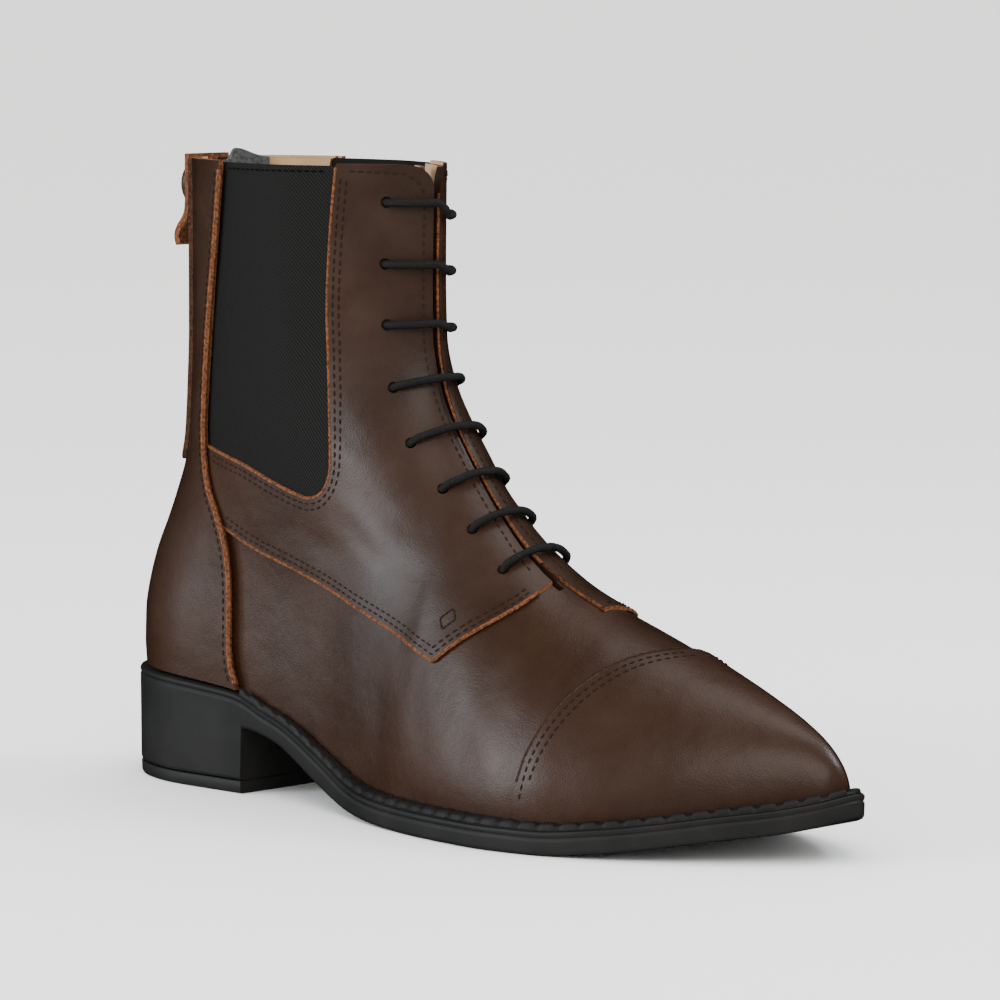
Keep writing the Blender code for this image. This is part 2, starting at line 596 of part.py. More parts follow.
def make_tongue():
    """Tongue behind the slit, from the instep to just under the collar."""
    under = WALL + 2 * LACE_RADIUS + 9 * GAP
    reach = 8
    strip = shell_grid(0, 0.44, 0.995, 13)[:, COLUMNS - reach : COLUMNS + reach + 1]
    middle = strip[:, reach]
    along = np.gradient(middle, axis=0)
    ahead = np.stack([along[:, 2], 0 * along[:, 0], -along[:, 0]], axis=1)
    ahead /= np.linalg.norm(ahead, axis=1)[:, None]
    half = np.abs(strip[:, -1, 1] - strip[:, 0, 1]) / 2
    grids = []
    for depth in (under, under + TONGUE_THICKNESS):
        share = (1 - depth / half)[:, None, None]
        grids.append((middle - depth * ahead)[:, None] + (strip - middle[:, None]) * share)
    return slab("tongue", *grids, False)


def lace_path():
    """The lace's middle line: a bar over each pair of holes, joined behind them in turn on each side."""
    eyes = {side: list(reversed(eye_places(side))) for side in (-1, 1)}
    ridge_z = np.linspace(SLIT_LOW, 1.0, 600) * BOOT_HEIGHT
    ridge_x = front_at(ridge_z)
    over = QUARTER + LACE_RADIUS + 2 * GAP
    behind = -(WALL + LACE_RADIUS + 2 * GAP)
    path = []
    for row in range(len(EYES)):
        half = []
        for side in (-1, 1):
            x, z = eyes[side][row]
            k = int(np.argmin((ridge_x - x) ** 2 + (ridge_z - z) ** 2))
            crown = np.array([ridge_x[k], ridge_z[k]])
            hole = [skin(x, z, side, h)[0][0] for h in (behind, -0.5 * WALL, QUARTER)]
            part = 1 - (1 - np.array([0.11, 0.30, 0.56, 0.82])) ** 2
            side_x, side_z = x + (crown[0] - x) * part, z + (crown[1] - z) * part
            rise = np.array([0.5, 1.0, 1.4, 1.5]) * 0.001
            half.append((hole, skin(side_x, side_z, side, over + rise)[0]))
        start, end = (half[0], half[1]) if row % 2 == 0 else (half[1], half[0])
        middle = (start[1][-1] + end[1][-1]) / 2
        middle[0] += 0.0004
        path += [*start[0], *start[1], middle, *end[1][::-1], *end[0][::-1]]
        if row + 1 < len(EYES):
            side = 1 if row % 2 == 0 else -1
            for part in (0.2, 0.8):
                x2, z2 = np.array(eyes[side][row]) * (1 - part) + np.array(eyes[side][row + 1]) * part
                path.append(skin(x2, z2, side, behind - 0.0003)[0][0])
    return np.array(path)


def tube(name, path, radius, sides=6):
    """A round cord along a path, its section carried without twist."""
    tangent = np.gradient(path, axis=0)
    tangent /= np.linalg.norm(tangent, axis=1)[:, None]
    frame = np.cross(tangent[0], (1.0, 0, 0))
    frame /= np.linalg.norm(frame)
    points = []
    turn = 2 * np.pi * np.arange(sides) / sides
    for here, along in zip(path, tangent):
        frame = frame - along * np.dot(frame, along)
        frame /= np.linalg.norm(frame)
        other = np.cross(along, frame)
        points.append(here + radius * (np.cos(turn)[:, None] * frame + np.sin(turn)[:, None] * other))
    faces = [tuple(range(sides))[::-1], tuple(sides * (len(path) - 1) + k for k in range(sides))]
    for i in range(len(path) - 1):
        for k in range(sides):
            a, b = i * sides + k, i * sides + (k + 1) % sides
            faces.append((a, b, b + sides, a + sides))
    return mesh_object(name, np.concatenate(points), faces)


def back_sheet(name, half_width, low, high, inner, outer, across=7, rows=14):
    """A sheet that lies on the back of the boot at two heights over the vamp's surface."""
    z = np.linspace(low, high, rows)
    aside = np.linspace(-half_width, half_width, across)
    step = np.linspace(0, 0.045, 300)
    grids = []
    for height in (outer, inner):
        grid = np.zeros((rows, across, 3))
        for r, here in enumerate(z):
            back = back_at(np.array([here]))[0]
            reach = [breadth(back + step, np.full_like(step, here), side) for side in (-1, 1)]
            for c, y in enumerate(aside):
                depth = np.interp(abs(y), reach[0 if y < 0 else 1], step)
                slope = np.interp(abs(y) + 0.0005, reach[0 if y < 0 else 1], step) - depth
                normal = np.array([-0.0005, np.sign(y) * slope])
                normal /= np.linalg.norm(normal)
                offset = base_offset(np.array([back]))[0] + height
                grid[r, c] = (back + depth + normal[0] * offset, y + normal[1] * offset, here)
        grids.append(grid)
    return slab(name, grids[0], grids[1], False)


def make_zip():
    """Zip tape in the slot, with the closed row of teeth as a ridge down its middle."""
    low, high = ZIP_LOW * BOOT_HEIGHT + GAP, BOOT_HEIGHT - 0.002
    half = ZIP_SLOT / 2 - 2 * GAP
    tape = back_sheet("zip", half, low, high, QUARTER - ZIP_TAPE, QUARTER, 5)
    teeth = back_sheet("teeth", 0.0022, low + 0.002, high - 0.001, QUARTER - 0.5 * ZIP_TAPE, QUARTER + 0.0013, 5)
    return combine(tape, teeth, "UNION")


def make_zip_facing():
    """Two strips beside the zip that join below it, standing on the backstay."""
    low = QUARTER + GAP + STAY_THICKNESS + GAP
    top, bottom = BOOT_HEIGHT - 0.0006, ZIP_LOW * BOOT_HEIGHT - 0.0075
    sheet = back_sheet("zip_facing", FACING_REACH + 0.0015, bottom - 0.002, top, low, low + ZIP_FACING, 15, 16)
    turn = np.linspace(0, np.pi / 2, 5)
    round_off = [(1 - np.cos(a), 1 - np.sin(a)) for a in turn]
    bend = [(FACING_REACH - FACING_CORNER * y, bottom + FACING_CORNER * z) for y, z in round_off]
    outline = [(FACING_REACH, 1.1 * BOOT_HEIGHT), *bend, *[(-y, z) for y, z in reversed(bend)],
               (-FACING_REACH, 1.1 * BOOT_HEIGHT)]
    combine(sheet, prism("facing_region", outline, -0.03, 0.045, 0), "INTERSECT")
    return combine(sheet, zip_cutter(FACING_SLOT, ZIP_LOW * BOOT_HEIGHT + 0.001), "DIFFERENCE")


def bent_strap(name, profile, half_width, thickness):
    """A strap of even thickness along a side-view line, across the boot."""
    line = np.asarray(profile, float)
    along = np.gradient(line, axis=0)
    along /= np.linalg.norm(along, axis=1)[:, None]
    across = np.stack([-along[:, 1], along[:, 0]], axis=1)
    grids = []
    for shift in (thickness / 2, -thickness / 2):
        side_line = line + across * shift
        widths = half_width * np.linspace(-1, 1, 5)
        grids.append(np.array([[(x, y, z) for y in widths] for x, z in side_line]))
    return slab(name, grids[0], grids[1], False)


def make_snap_tab():
    """Tab that comes over the collar at the back and covers the top of the zip."""
    back = back_at(np.array([BOOT_HEIGHT]))[0]
    h = BOOT_HEIGHT
    profile = [(back - 0.0029, h + 0.0008), (back - 0.0029, h - 0.009), (back - 0.0030, h - 0.0170),
               (back - 0.0046, h - 0.0201), (back - 0.0070, h - 0.0225), (back - 0.0083, h - 0.0252),
               (back - 0.0074, h - 0.0280)]
    return bent_strap("snap_tab", profile, TAB_WIDTH / 2, TAB_THICKNESS)


def make_snap_cap():
    back, z = back_at(np.array([BOOT_HEIGHT]))[0], BOOT_HEIGHT - 0.0088
    start = back - 0.0030 - TAB_THICKNESS / 2 - GAP
    turn = 2 * np.pi * np.arange(20) / 20
    points, faces = [], []
    rows = ((0.0, 0.92), (0.25, 1.0), (0.65, 0.92), (0.9, 0.6), (1.0, 0.25))
    for out, share in rows:
        wide = CAP_RADIUS * share
        points += [(start - out * CAP_HEIGHT, wide * np.cos(a), z + wide * np.sin(a)) for a in turn]
    for r in range(len(rows) - 1):
        for i in range(20):
            a, b = r * 20 + i, r * 20 + (i + 1) % 20
            faces.append((a, b, b + 20, a + 20))
    faces += [tuple(range(20))[::-1], tuple(80 + i for i in range(20))]
    return mesh_object("snap_cap", points, faces)


def make_slider():
    """Zip slider at the top of the closed zip, under the tab."""
    z = BOOT_HEIGHT - 0.009
    back = back_at(np.array([z]))[0]
    start = back - base_offset(np.array([back]))[0] - QUARTER - 0.0013 - GAP
    outline = [(-0.0026, z - 0.0045), (0.0026, z - 0.0045), (0.0030, z + 0.0035), (-0.0030, z + 0.0035)]
    return prism("zip_slider", outline, start, start - 0.0012, 0)


def make_guard():
    """Felt flap behind the zip, a little higher than the collar."""
    low = WALL + GAP
    outer, inner = (shell_grid(-h, 0.62, 1.0, 9) for h in (low, low + GUARD_THICKNESS))
    columns = np.arange(-5, 6)
    grids = [grid[:, columns].copy() for grid in (outer, inner)]
    for grid in grids:
        grid[:, :, 2] += GUARD_RISE * smooth(0.85, 1.0, grid[:, :, 2] / BOOT_HEIGHT)
    return slab("zip_guard", *grids, False)


def finish(obj, color, roughness, to_middle, collection):
    material = bpy.data.materials.new(obj.name)
    material.use_nodes = True
    shader = material.node_tree.nodes["Principled BSDF"]
    shader.inputs["Base Color"].default_value = (*color, 1)
    shader.inputs["Roughness"].default_value = roughness
    obj.data.materials.clear()
    obj.data.materials.append(material)
    obj.data.transform(to_middle)
    obj.data.shade_smooth()
    collection.objects.link(obj)
    bpy.context.scene.collection.objects.unlink(obj)


def main():
    for obj in list(bpy.data.objects):
        bpy.data.objects.remove(obj, do_unlink=True)
    boot = bpy.data.collections.new("paddock_boot")
    bpy.context.scene.collection.children.link(boot)
    leather, edge, rubber = (0.055, 0.026, 0.016), (0.12, 0.05, 0.02), (0.016, 0.016, 0.015)
    fabric, cord, metal = (0.012, 0.012, 0.011), (0.010, 0.010, 0.010), (0.25, 0.17, 0.08)
    pieces = (
        (make_outsole(), rubber, 0.6), (make_top_piece(), rubber, 0.65), (make_welt(), rubber, 0.7),
        (make_insole(), (0.35, 0.22, 0.11), 0.7), (make_upper(), leather, 0.4), (make_tongue(), leather, 0.5),
        (make_gore(-1), fabric, 0.8), (make_gore(1), fabric, 0.8), (make_toe_cap(), leather, 0.35),
        (make_backstay(), edge, 0.45), (make_zip(), fabric, 0.6), (make_zip_facing(), leather, 0.45),
        (make_slider(), metal, 0.35), (make_guard(), (0.06, 0.06, 0.065), 0.9),
        (make_snap_tab(), edge, 0.5), (make_snap_cap(), leather, 0.4),
        (tube("lace", lace_path(), LACE_RADIUS), cord, 0.8),
    )
    outline = sole_outline(0.0)
    low, high = outline.min(axis=0), outline.max(axis=0)
    to_middle = Matrix.Translation((-(low[0] + high[0]) / 2, -(low[1] + high[1]) / 2, 0))
    for obj, color, roughness in pieces:
        finish(obj, color, roughness, to_middle, boot)


main()
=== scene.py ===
"""Looks of the laced paddock boot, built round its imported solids.

Every leather panel is made again at full smoothness from the boot's surface function, with soft creases,
raw edges, seams and stitches, and the sole from its outline and profile.
"""

import json
from math import radians

import bmesh
import bpy
import numpy as np
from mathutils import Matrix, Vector

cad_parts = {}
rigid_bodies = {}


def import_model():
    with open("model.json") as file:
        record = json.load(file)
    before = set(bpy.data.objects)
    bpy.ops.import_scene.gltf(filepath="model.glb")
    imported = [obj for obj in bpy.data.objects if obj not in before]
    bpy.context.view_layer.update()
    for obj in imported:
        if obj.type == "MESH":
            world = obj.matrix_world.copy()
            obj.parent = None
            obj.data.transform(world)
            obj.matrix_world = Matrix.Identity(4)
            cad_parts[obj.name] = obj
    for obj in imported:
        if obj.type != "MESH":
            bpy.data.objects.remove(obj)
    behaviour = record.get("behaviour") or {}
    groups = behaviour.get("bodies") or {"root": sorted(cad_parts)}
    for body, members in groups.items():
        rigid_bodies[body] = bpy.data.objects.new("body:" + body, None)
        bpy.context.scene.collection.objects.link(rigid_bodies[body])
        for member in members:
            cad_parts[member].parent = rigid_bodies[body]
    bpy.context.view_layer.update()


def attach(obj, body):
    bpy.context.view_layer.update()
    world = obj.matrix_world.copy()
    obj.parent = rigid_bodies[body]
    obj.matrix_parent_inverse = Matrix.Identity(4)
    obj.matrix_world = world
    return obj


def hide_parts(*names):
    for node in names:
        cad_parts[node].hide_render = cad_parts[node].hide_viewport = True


# Named sizes of the part, in metres.
SOLE_LENGTH = 0.2850
SOLE_WIDTH = 0.0958
BOOT_HEIGHT = 0.1960
HEEL_LENGTH = 0.0683
HEEL_HEIGHT = 0.0205
TOP_PIECE = 0.0040
TOE_SPRING = 0.0129
EDGE = 0.0072
WELT_HEIGHT = 0.0022
WALL = 0.0018
QUARTER = 0.0012
STAY_THICKNESS = 0.0015
CAP_THICKNESS = 0.0011
GORE_THICKNESS = 0.0017
INSOLE_THICKNESS = 0.0020
TONGUE_THICKNESS = 0.0020
LACE_RADIUS = 0.0012
HOLE_RADIUS = 0.0018
SLIT = 0.0023
CORNER = 0.0075
ZIP_SLOT = 0.0120
ZIP_FACING = 0.0012
ZIP_TAPE = 0.0009
TAB_WIDTH = 0.0170
TAB_THICKNESS = 0.0022
CAP_RADIUS = 0.0080
CAP_HEIGHT = 0.0042
GUARD_RISE = 0.0025
GUARD_THICKNESS = 0.0016
FACING_REACH = 0.0150
FACING_CORNER = 0.0060
FACING_SLOT = 0.0068
GAP = 0.0003

# Sizes that only the looks need.
STITCH_PITCH = 0.0027
STITCH_LENGTH = 0.0019
STITCH_RADIUS = 0.00028
STITCH_SINK = 0.00016
ROW_NEAR, ROW_FAR, STAY_ROW = 0.0017, 0.0035, 0.0022
NOTCH_PITCH = 0.0064
NOTCH_GAP = 0.0016
CORD_STEP, CORD_SIDES = 0.00045, 14
BRAID_PITCH = 0.0032
BEAD_STEP = 0.0007
CAP_BEAD, PANEL_BEAD, STAY_BEAD = 0.00065, 0.00060, 0.00095
TWILL_PITCH, RIB_PITCH = 0.001118, 0.000655
ROWS, COLUMNS = 110, 130

REAR, TIP = 0.0074, 0.9859  # ends of the foot's outline, as shares of SOLE_LENGTH
INSTEP, THROAT = 0.367, 0.521  # where the foot's crest starts and ends its fall, as shares of SOLE_LENGTH
CROWN = 0.732  # where that crest starts, as a share of BOOT_HEIGHT
HEEL_ROUND, TOE_ROUND = 0.141, 0.1006

PLAN = (  # along, ridge, lateral, medial
    (0.000, 0.000, 0.314, 0.314), (0.149, 0.000, 0.314, 0.314), (0.240, 0.000, 0.312, 0.314),
    (0.300, 0.000, 0.314, 0.299), (0.364, 0.000, 0.334, 0.269), (0.417, -0.005, 0.362, 0.259),
    (0.468, -0.010, 0.394, 0.269), (0.518, -0.015, 0.426, 0.299), (0.568, -0.015, 0.455, 0.339),
    (0.625, -0.008, 0.482, 0.379), (0.679, 0.008, 0.502, 0.389), (0.719, 0.025, 0.499, 0.379),
    (0.759, 0.040, 0.477, 0.359), (0.806, 0.053, 0.429, 0.316), (0.853, 0.065, 0.359, 0.259),
    (0.894, 0.070, 0.275, 0.207), (0.934, 0.075, 0.203, 0.157), (0.967, 0.080, 0.158, 0.128),
    (0.986, 0.080, 0.148, 0.120),
)
SOLE = (  # along, under, seat, spring
    (0.000, 1.000, 1.326, 0.000), (0.115, 1.000, 1.288, 0.000), (0.182, 1.000, 1.233, 0.000),
    (0.229, 1.000, 1.172, 0.000), (0.243, 1.000, 1.122, 0.000), (0.273, 0.944, 0.962, 0.000),
    (0.300, 0.835, 0.851, 0.000), (0.333, 0.628, 0.674, 0.000), (0.367, 0.409, 0.470, 0.000),
    (0.401, 0.233, 0.284, 0.000), (0.434, 0.107, 0.126, 0.000), (0.468, 0.042, 0.042, 0.000),
    (0.518, 0.009, 0.009, 0.000), (0.551, 0.000, 0.000, 0.000), (0.736, 0.000, 0.000, 0.000),
    (0.806, 0.000, 0.000, 0.141), (0.853, 0.000, 0.000, 0.296), (0.907, 0.000, 0.000, 0.511),
    (0.947, 0.000, 0.000, 0.652), (0.984, 0.000, 0.000, 0.859), (1.000, 0.000, 0.000, 1.000),
)
MARGIN = (  # along, margin
    (0.000, 0.0021), (0.240, 0.0017), (0.364, 0.0031), (0.518, 0.0048), (0.880, 0.0048), (0.990, 0.0040),
)
FRONT = (  # height, along
    (0.0927, 0.9859), (0.1122, 0.9856), (0.1317, 0.9809), (0.1561, 0.9675), (0.1805, 0.9473), (0.2000, 0.9239),
    (0.2195, 0.8953), (0.2415, 0.8601), (0.2659, 0.8199), (0.2927, 0.7762), (0.3195, 0.7293), (0.3439, 0.6857),
    (0.3732, 0.6387), (0.4098, 0.5968), (0.4463, 0.5616), (0.4878, 0.5297), (0.5366, 0.4995), (0.5951, 0.4710),
    (0.6585, 0.4509), (0.7317, 0.4408), (0.8293, 0.4391), (0.9268, 0.4398), (1.0500, 0.4410),
)
BACK = (  # height, along
    (0.1463, 0.0094), (0.1756, 0.0074), (0.2195, 0.0047), (0.2683, 0.0047), (0.3171, 0.0091), (0.3659, 0.0181),
    (0.4146, 0.0332), (0.4634, 0.0483), (0.5122, 0.0624), (0.5610, 0.0718), (0.6341, 0.0768), (0.7317, 0.0802),
    (0.8293, 0.0802), (1.0500, 0.0802),
)
SHAFT = (  # height, half
    (0.2927, 0.3393), (0.4390, 0.3244), (0.5366, 0.3094), (0.6829, 0.2994), (0.8293, 0.2944), (1.0500, 0.2994),
)
GORE = (  # along, height
    (0.1940, 1.0350), (0.1808, 0.9298), (0.1657, 0.8088), (0.1540, 0.6878), (0.1456, 0.5951), (0.1440, 0.5434),
    (0.1560, 0.5415), (0.1825, 0.5341), (0.2308, 0.5220), (0.2848, 0.4971), (0.3200, 0.4824), (0.3368, 0.4785),
    (0.3536, 0.4863), (0.3646, 0.5098), (0.3656, 0.5459), (0.3552, 0.6195), (0.3452, 0.6995), (0.3418, 0.7805),
    (0.3459, 0.8976), (0.3560, 1.0350),
)
STAY = (  # along, height
    (0.1980, 1.0350), (0.1805, 0.8810), (0.1634, 0.7590), (0.1530, 0.6376), (0.1483, 0.5454), (0.1607, 0.4863),
    (0.1892, 0.4298), (0.2066, 0.3712), (0.2127, 0.2902), (0.2154, 0.2093), (0.2295, 0.1659), (0.2420, 0.0400),
)
QUARTER_START = (0.1905, 0.4190)  # along, height
QUARTER_LATERAL = (  # along, height
    (0.1758, 0.4244), (0.2452, 0.3907), (0.3022, 0.3702), (0.3697, 0.3429), (0.4183, 0.3200), (0.4804, 0.2937),
    (0.5381, 0.2644), (0.5518, 0.2580), (0.5599, 0.2683), (0.5817, 0.2951), (0.6085, 0.3244), (0.6246, 0.3463),
    (0.6286, 0.3634), (0.6260, 0.4200),
)
QUARTER_MEDIAL = (  # along, height
    (0.1758, 0.4244), (0.2452, 0.3950), (0.3022, 0.3720), (0.3697, 0.3440), (0.4183, 0.3230), (0.4804, 0.3000),
    (0.5481, 0.2720), (0.5850, 0.2560), (0.6000, 0.2570), (0.6250, 0.2850), (0.6560, 0.3080), (0.6800, 0.3230),
    (0.6890, 0.3360), (0.6860, 0.4200),
)
SLIT_LINE = (  # height, aside
    (0.330, -0.010), (0.350, -0.045), (0.385, -0.066), (0.470, -0.038), (0.560, -0.022), (0.700, -0.020),
    (1.050, -0.014),
)
CAP_LINE = (  # aside, along
    (-0.640, 0.6900), (-0.480, 0.7024), (-0.390, 0.7175), (-0.280, 0.7346), (-0.120, 0.7610), (-0.030, 0.7765),
    (0.060, 0.7860), (0.160, 0.7880), (0.260, 0.7790), (0.360, 0.7620), (0.520, 0.7350),
)
EYES = (  # along, height, drop: lace holes of the outer side, and how much lower those of the inner side are
    (0.4019, 0.9410, 0.020), (0.4002, 0.8454, 0.012), (0.4022, 0.7512, 0.008), (0.4156, 0.6556, 0.000),
    (0.4478, 0.5732, 0.000), (0.4918, 0.5063, 0.000), (0.5361, 0.4488, 0.000), (0.5850, 0.3932, 0.000),
)
FOLDS = (  # side, along and height of both ends, width and depth in mm: soft troughs
    (-1, 0.500, 0.250, 0.585, 0.105, 5.5, 0.55), (-1, 0.555, 0.245, 0.640, 0.110, 5.0, 0.50),
    (-1, 0.610, 0.290, 0.690, 0.130, 5.5, 0.45), (-1, 0.430, 0.270, 0.500, 0.130, 7.0, 0.40),
    (-1, 0.370, 0.455, 0.480, 0.375, 3.2, 0.40), (-1, 0.390, 0.500, 0.505, 0.430, 2.8, 0.30),
    (-1, 0.300, 0.440, 0.400, 0.395, 4.0, 0.35), (-1, 0.350, 0.600, 0.430, 0.560, 3.5, 0.25),
    (-1, 0.370, 0.780, 0.425, 0.800, 4.0, 0.25), (1, 0.520, 0.250, 0.600, 0.105, 5.5, 0.50),
    (1, 0.600, 0.260, 0.660, 0.110, 5.0, 0.45), (1, 0.380, 0.460, 0.490, 0.380, 3.5, 0.35),
)
ZIP_LOW = 0.548
SLIT_LOW = 0.372
OUTER, INNER, CUT, TURNED = 0, 1, 2, 3  # material slots of a leather panel

# Colours, light and point of view.
LEATHER_DARK, LEATHER_LIGHT = (0.0190, 0.0074, 0.0030), (0.0330, 0.0136, 0.0057)
EDGE_DARK, EDGE_LIGHT = (0.045, 0.0160, 0.0070), (0.150, 0.052, 0.019)
SKY_STRENGTH = 2.5
FLOOR_REACH = 60
LIGHTS = (  # name, direction from the boot, distance, size, watts, colour
    ("window", (-0.45, -0.80, 0.28), 1.6, 0.80, 15.5, (0.84, 0.92, 1.0)),
    ("side", (-0.78, -0.60, 0.06), 1.4, 0.35, 1.5, (0.86, 0.93, 1.0)),
    ("front", (0.62, -0.50, 0.62), 1.5, 0.8, 6.0, (1.0, 0.96, 0.91)),
    ("overhead", (0.10, 0.25, 1.0), 1.8, 1.0, 7.0, (1.0, 0.98, 0.95)),
    ("rim", (0.45, 0.52, 0.60), 1.2, 0.30, 5.0, (0.84, 0.92, 1.0)),
)
CAMERA_PLACE, CAMERA_TURN = (1.0791, -1.0945, 0.2540), (84.10, 0, 44.28)
LENS, ZOOM = 96.87, 1.9


def unit(vectors):
    """The same directions, each with length one."""
    return vectors / np.maximum(np.linalg.norm(vectors, axis=-1, keepdims=True), 1e-12)


def lengths(points):
    """How far along a line each of its points is."""
    return np.concatenate([[0], np.cumsum(np.linalg.norm(np.diff(points, axis=0), axis=1))])


def points_at(places, length, points):
    """Points at some distances along a line."""
    return np.stack([np.interp(places, length, points[:, k]) for k in range(points.shape[1])], axis=1)


def curve(table, column, at):
    """Value of a table's column, smooth and with no overshoot between the rows."""
    rows = np.array(table, float)
    x, y = rows[:, 0], rows[:, column]
    step = np.diff(x)
    rise = np.diff(y) / step
    slope = np.zeros(len(x))
    slope[0], slope[-1] = rise[0], rise[-1]
    same = rise[:-1] * rise[1:] > 0
    near, far = 2 * step[1:] + step[:-1], step[1:] + 2 * step[:-1]
    slope[1:-1][same] = ((near + far)[same]) / (near[same] / rise[:-1][same] + far[same] / rise[1:][same])
    at = np.clip(at, x[0], x[-1])
    i = np.clip(np.searchsorted(x, at, side="right") - 1, 0, len(x) - 2)
    t = (at - x[i]) / step[i]
    return (
        y[i] * (1 + 2 * t) * (1 - t) ** 2
        + slope[i] * step[i] * t * (1 - t) ** 2
        + y[i + 1] * t * t * (3 - 2 * t)
        + slope[i + 1] * step[i] * t * t * (t - 1)
    )


def smooth(low, high, at):
    t = np.clip((at - low) / (high - low), 0, 1)
    return t * t * (3 - 2 * t)


def front_at(z):
    return SOLE_LENGTH * curve(FRONT, 1, z / BOOT_HEIGHT)


def back_at(z):
    return SOLE_LENGTH * curve(BACK, 1, z / BOOT_HEIGHT)


def ridge_at(x):
    table = [(along, height) for height, along in reversed(FRONT)][1:]
    return BOOT_HEIGHT * curve(table, 1, x / SOLE_LENGTH)


def seat_at(x):
    share = x / SOLE_LENGTH
    return EDGE + HEEL_HEIGHT * curve(SOLE, 2, share) + TOE_SPRING * curve(SOLE, 3, share)


def under_at(x):
    share = x / SOLE_LENGTH
    return HEEL_HEIGHT * curve(SOLE, 1, share) + TOE_SPRING * curve(SOLE, 3, share)


def ridge_aside(x):
    return SOLE_WIDTH * curve(PLAN, 1, x / SOLE_LENGTH)


def breadth(x, z, side):
    """Distance of the boot's outside from its ridge line, at a place in side view."""
    share = x / SOLE_LENGTH
    half = SOLE_WIDTH * curve(PLAN, 2 if side < 0 else 3, share)
    seat, throat = seat_at(x), THROAT * SOLE_LENGTH
    crown = CROWN * BOOT_HEIGHT
    inner = crown - (crown - ridge_at(throat)) * smooth(INSTEP, THROAT, share)
    crest = np.minimum(np.where(x < throat, inner, ridge_at(x)), crown)
    up = np.clip((z - seat) / np.maximum(crest - seat, 1e-9), 0, 1)
    swell = 1 + 0.16 * up * (1 - up) ** 2 * smooth(0.384, 0.585, share)
    dome = np.maximum(1 - up**1.75, 0) ** (1 / 1.9) * swell
    heel = np.clip((x - back_at(z)) / (HEEL_ROUND * SOLE_LENGTH), 0, 1)
    toe = np.clip((TIP - share) / TOE_ROUND, 0, 1)
    foot = half * dome * np.sqrt(1 - (1 - heel) ** 2) * np.sqrt(1 - (1 - toe) ** 2)
    back, front = back_at(z), front_at(z)
    u = np.clip((x - back) / np.maximum(front - back, 1e-9), 0, 1)
    power = 2.1 - (0.6 - 0.55 * (1 - smooth(0.488, 0.732, z / BOOT_HEIGHT))) * smooth(0.4, 0.7, u)
    shaft = SOLE_WIDTH * curve(SHAFT, 1, z / BOOT_HEIGHT)
    shaft = shaft * np.maximum(1 - np.abs(2 * u - 1) ** power, 0) ** (1 / power)
    blend = smooth(0.254, 0.585, z / BOOT_HEIGHT)
    return (1 - blend) * foot + blend * shaft


def stations(columns):
    plain = np.linspace(0, 1, columns + 1)
    breast = np.arccos(1 - 2 * (HEEL_LENGTH / SOLE_LENGTH - REAR) / (TIP - REAR)) / np.pi
    near = plain[np.argmin(np.abs(plain - breast))]
    moved = np.where(plain < near, plain * breast / near, 1 - (1 - plain) * (1 - breast) / (1 - near))
    return (1 - np.cos(np.pi * moved)) / 2


def ring(level, columns, lift=0.0):
    """Points round the boot at a level, 0 at the sole and 1 at the collar: from the back by the outer side."""
    t = stations(columns)
    foot = SOLE_LENGTH * (REAR + t * (TIP - REAR))
    low_back, low_front = seat_at(foot[0]) + lift, seat_at(foot[-1]) + lift
    back_z = low_back + (BOOT_HEIGHT - low_back) * level
    steps = ((0, low_front), (0.12, 0.161), (0.3, 0.244), (0.5, 0.371), (0.7, 0.585), (0.85, 0.795), (1, 1.0))
    steps = [(a, b if i == 0 else b * BOOT_HEIGHT) for i, (a, b) in enumerate(steps)]
    front_z = curve(steps, 1, np.array([level]))[0]
    back_x, front_x = back_at(np.array([back_z]))[0], front_at(np.array([front_z]))[0]
    x = back_x + t * (front_x - back_x)
    z = back_z + t * (front_z - back_z)
    sag = seat_at(foot) + lift - (low_back + t * (low_front - low_back))
    z = z + sag * (1 - level) ** 2
    sides = []
    for side in (-1, 1):
        out = breadth(x, z, side)
        out[0] = out[-1] = 0
        sides.append(np.stack([x, ridge_aside(x) + side * out, z], axis=1))
    return np.concatenate([sides[0], sides[1][1:-1][::-1]])


def normals_of(grid):
    along = np.roll(grid, -1, axis=1) - np.roll(grid, 1, axis=1)
    return unit(np.cross(along, np.gradient(grid, axis=0)))


def base_offset(x):
    return -(0.0013 + 0.0017 * (1 - smooth(0.14, 0.31, x / SOLE_LENGTH)))


def relief(x, z, side):
    """Depth of the creases at a place in side view."""
    depth = np.zeros(np.broadcast(x, z).shape)
    for where, x1, z1, x2, z2, width, deep in FOLDS:
        start, end = np.array(side_outline([(x1, z1), (x2, z2)]))
        along = end - start
        t = np.clip(((x - start[0]) * along[0] + (z - start[1]) * along[1]) / np.dot(along, along), 0, 1)
        bow = 0.0012 * np.sin(9 * t + 7 * x1)
        off = np.hypot(x - start[0] - t * along[0] + bow, z - start[1] - t * along[1])
        fade = np.sin(np.pi * np.clip(0.12 + 0.76 * t, 0, 1))
        trough = np.exp(-((off / (width * 0.0012)) ** 2)) - 0.4 * np.exp(-((off / (width * 0.0022)) ** 2))
        depth = depth - np.where(np.sign(side) == where, 0.95 * deep * 0.001 * fade * trough, 0)
    return depth * smooth(0.0, 0.05, (z - seat_at(x)) / BOOT_HEIGHT)


def surface():
    """The boot's outside as dense rings, with its normals; heights over the vamp are added later."""
    grid = np.array([ring(level, COLUMNS, GAP) for level in np.linspace(0, 1, 161)])
    normal = normals_of(grid)
    normal[0, :, 2] = 0
    normal[0] = unit(normal[0])
    side = np.ones(grid.shape[1])
    side[: COLUMNS + 1] = -1
    push = base_offset(grid[:, :, 0]) + relief(grid[:, :, 0], grid[:, :, 2], side[None, :])
    return grid, normal, push


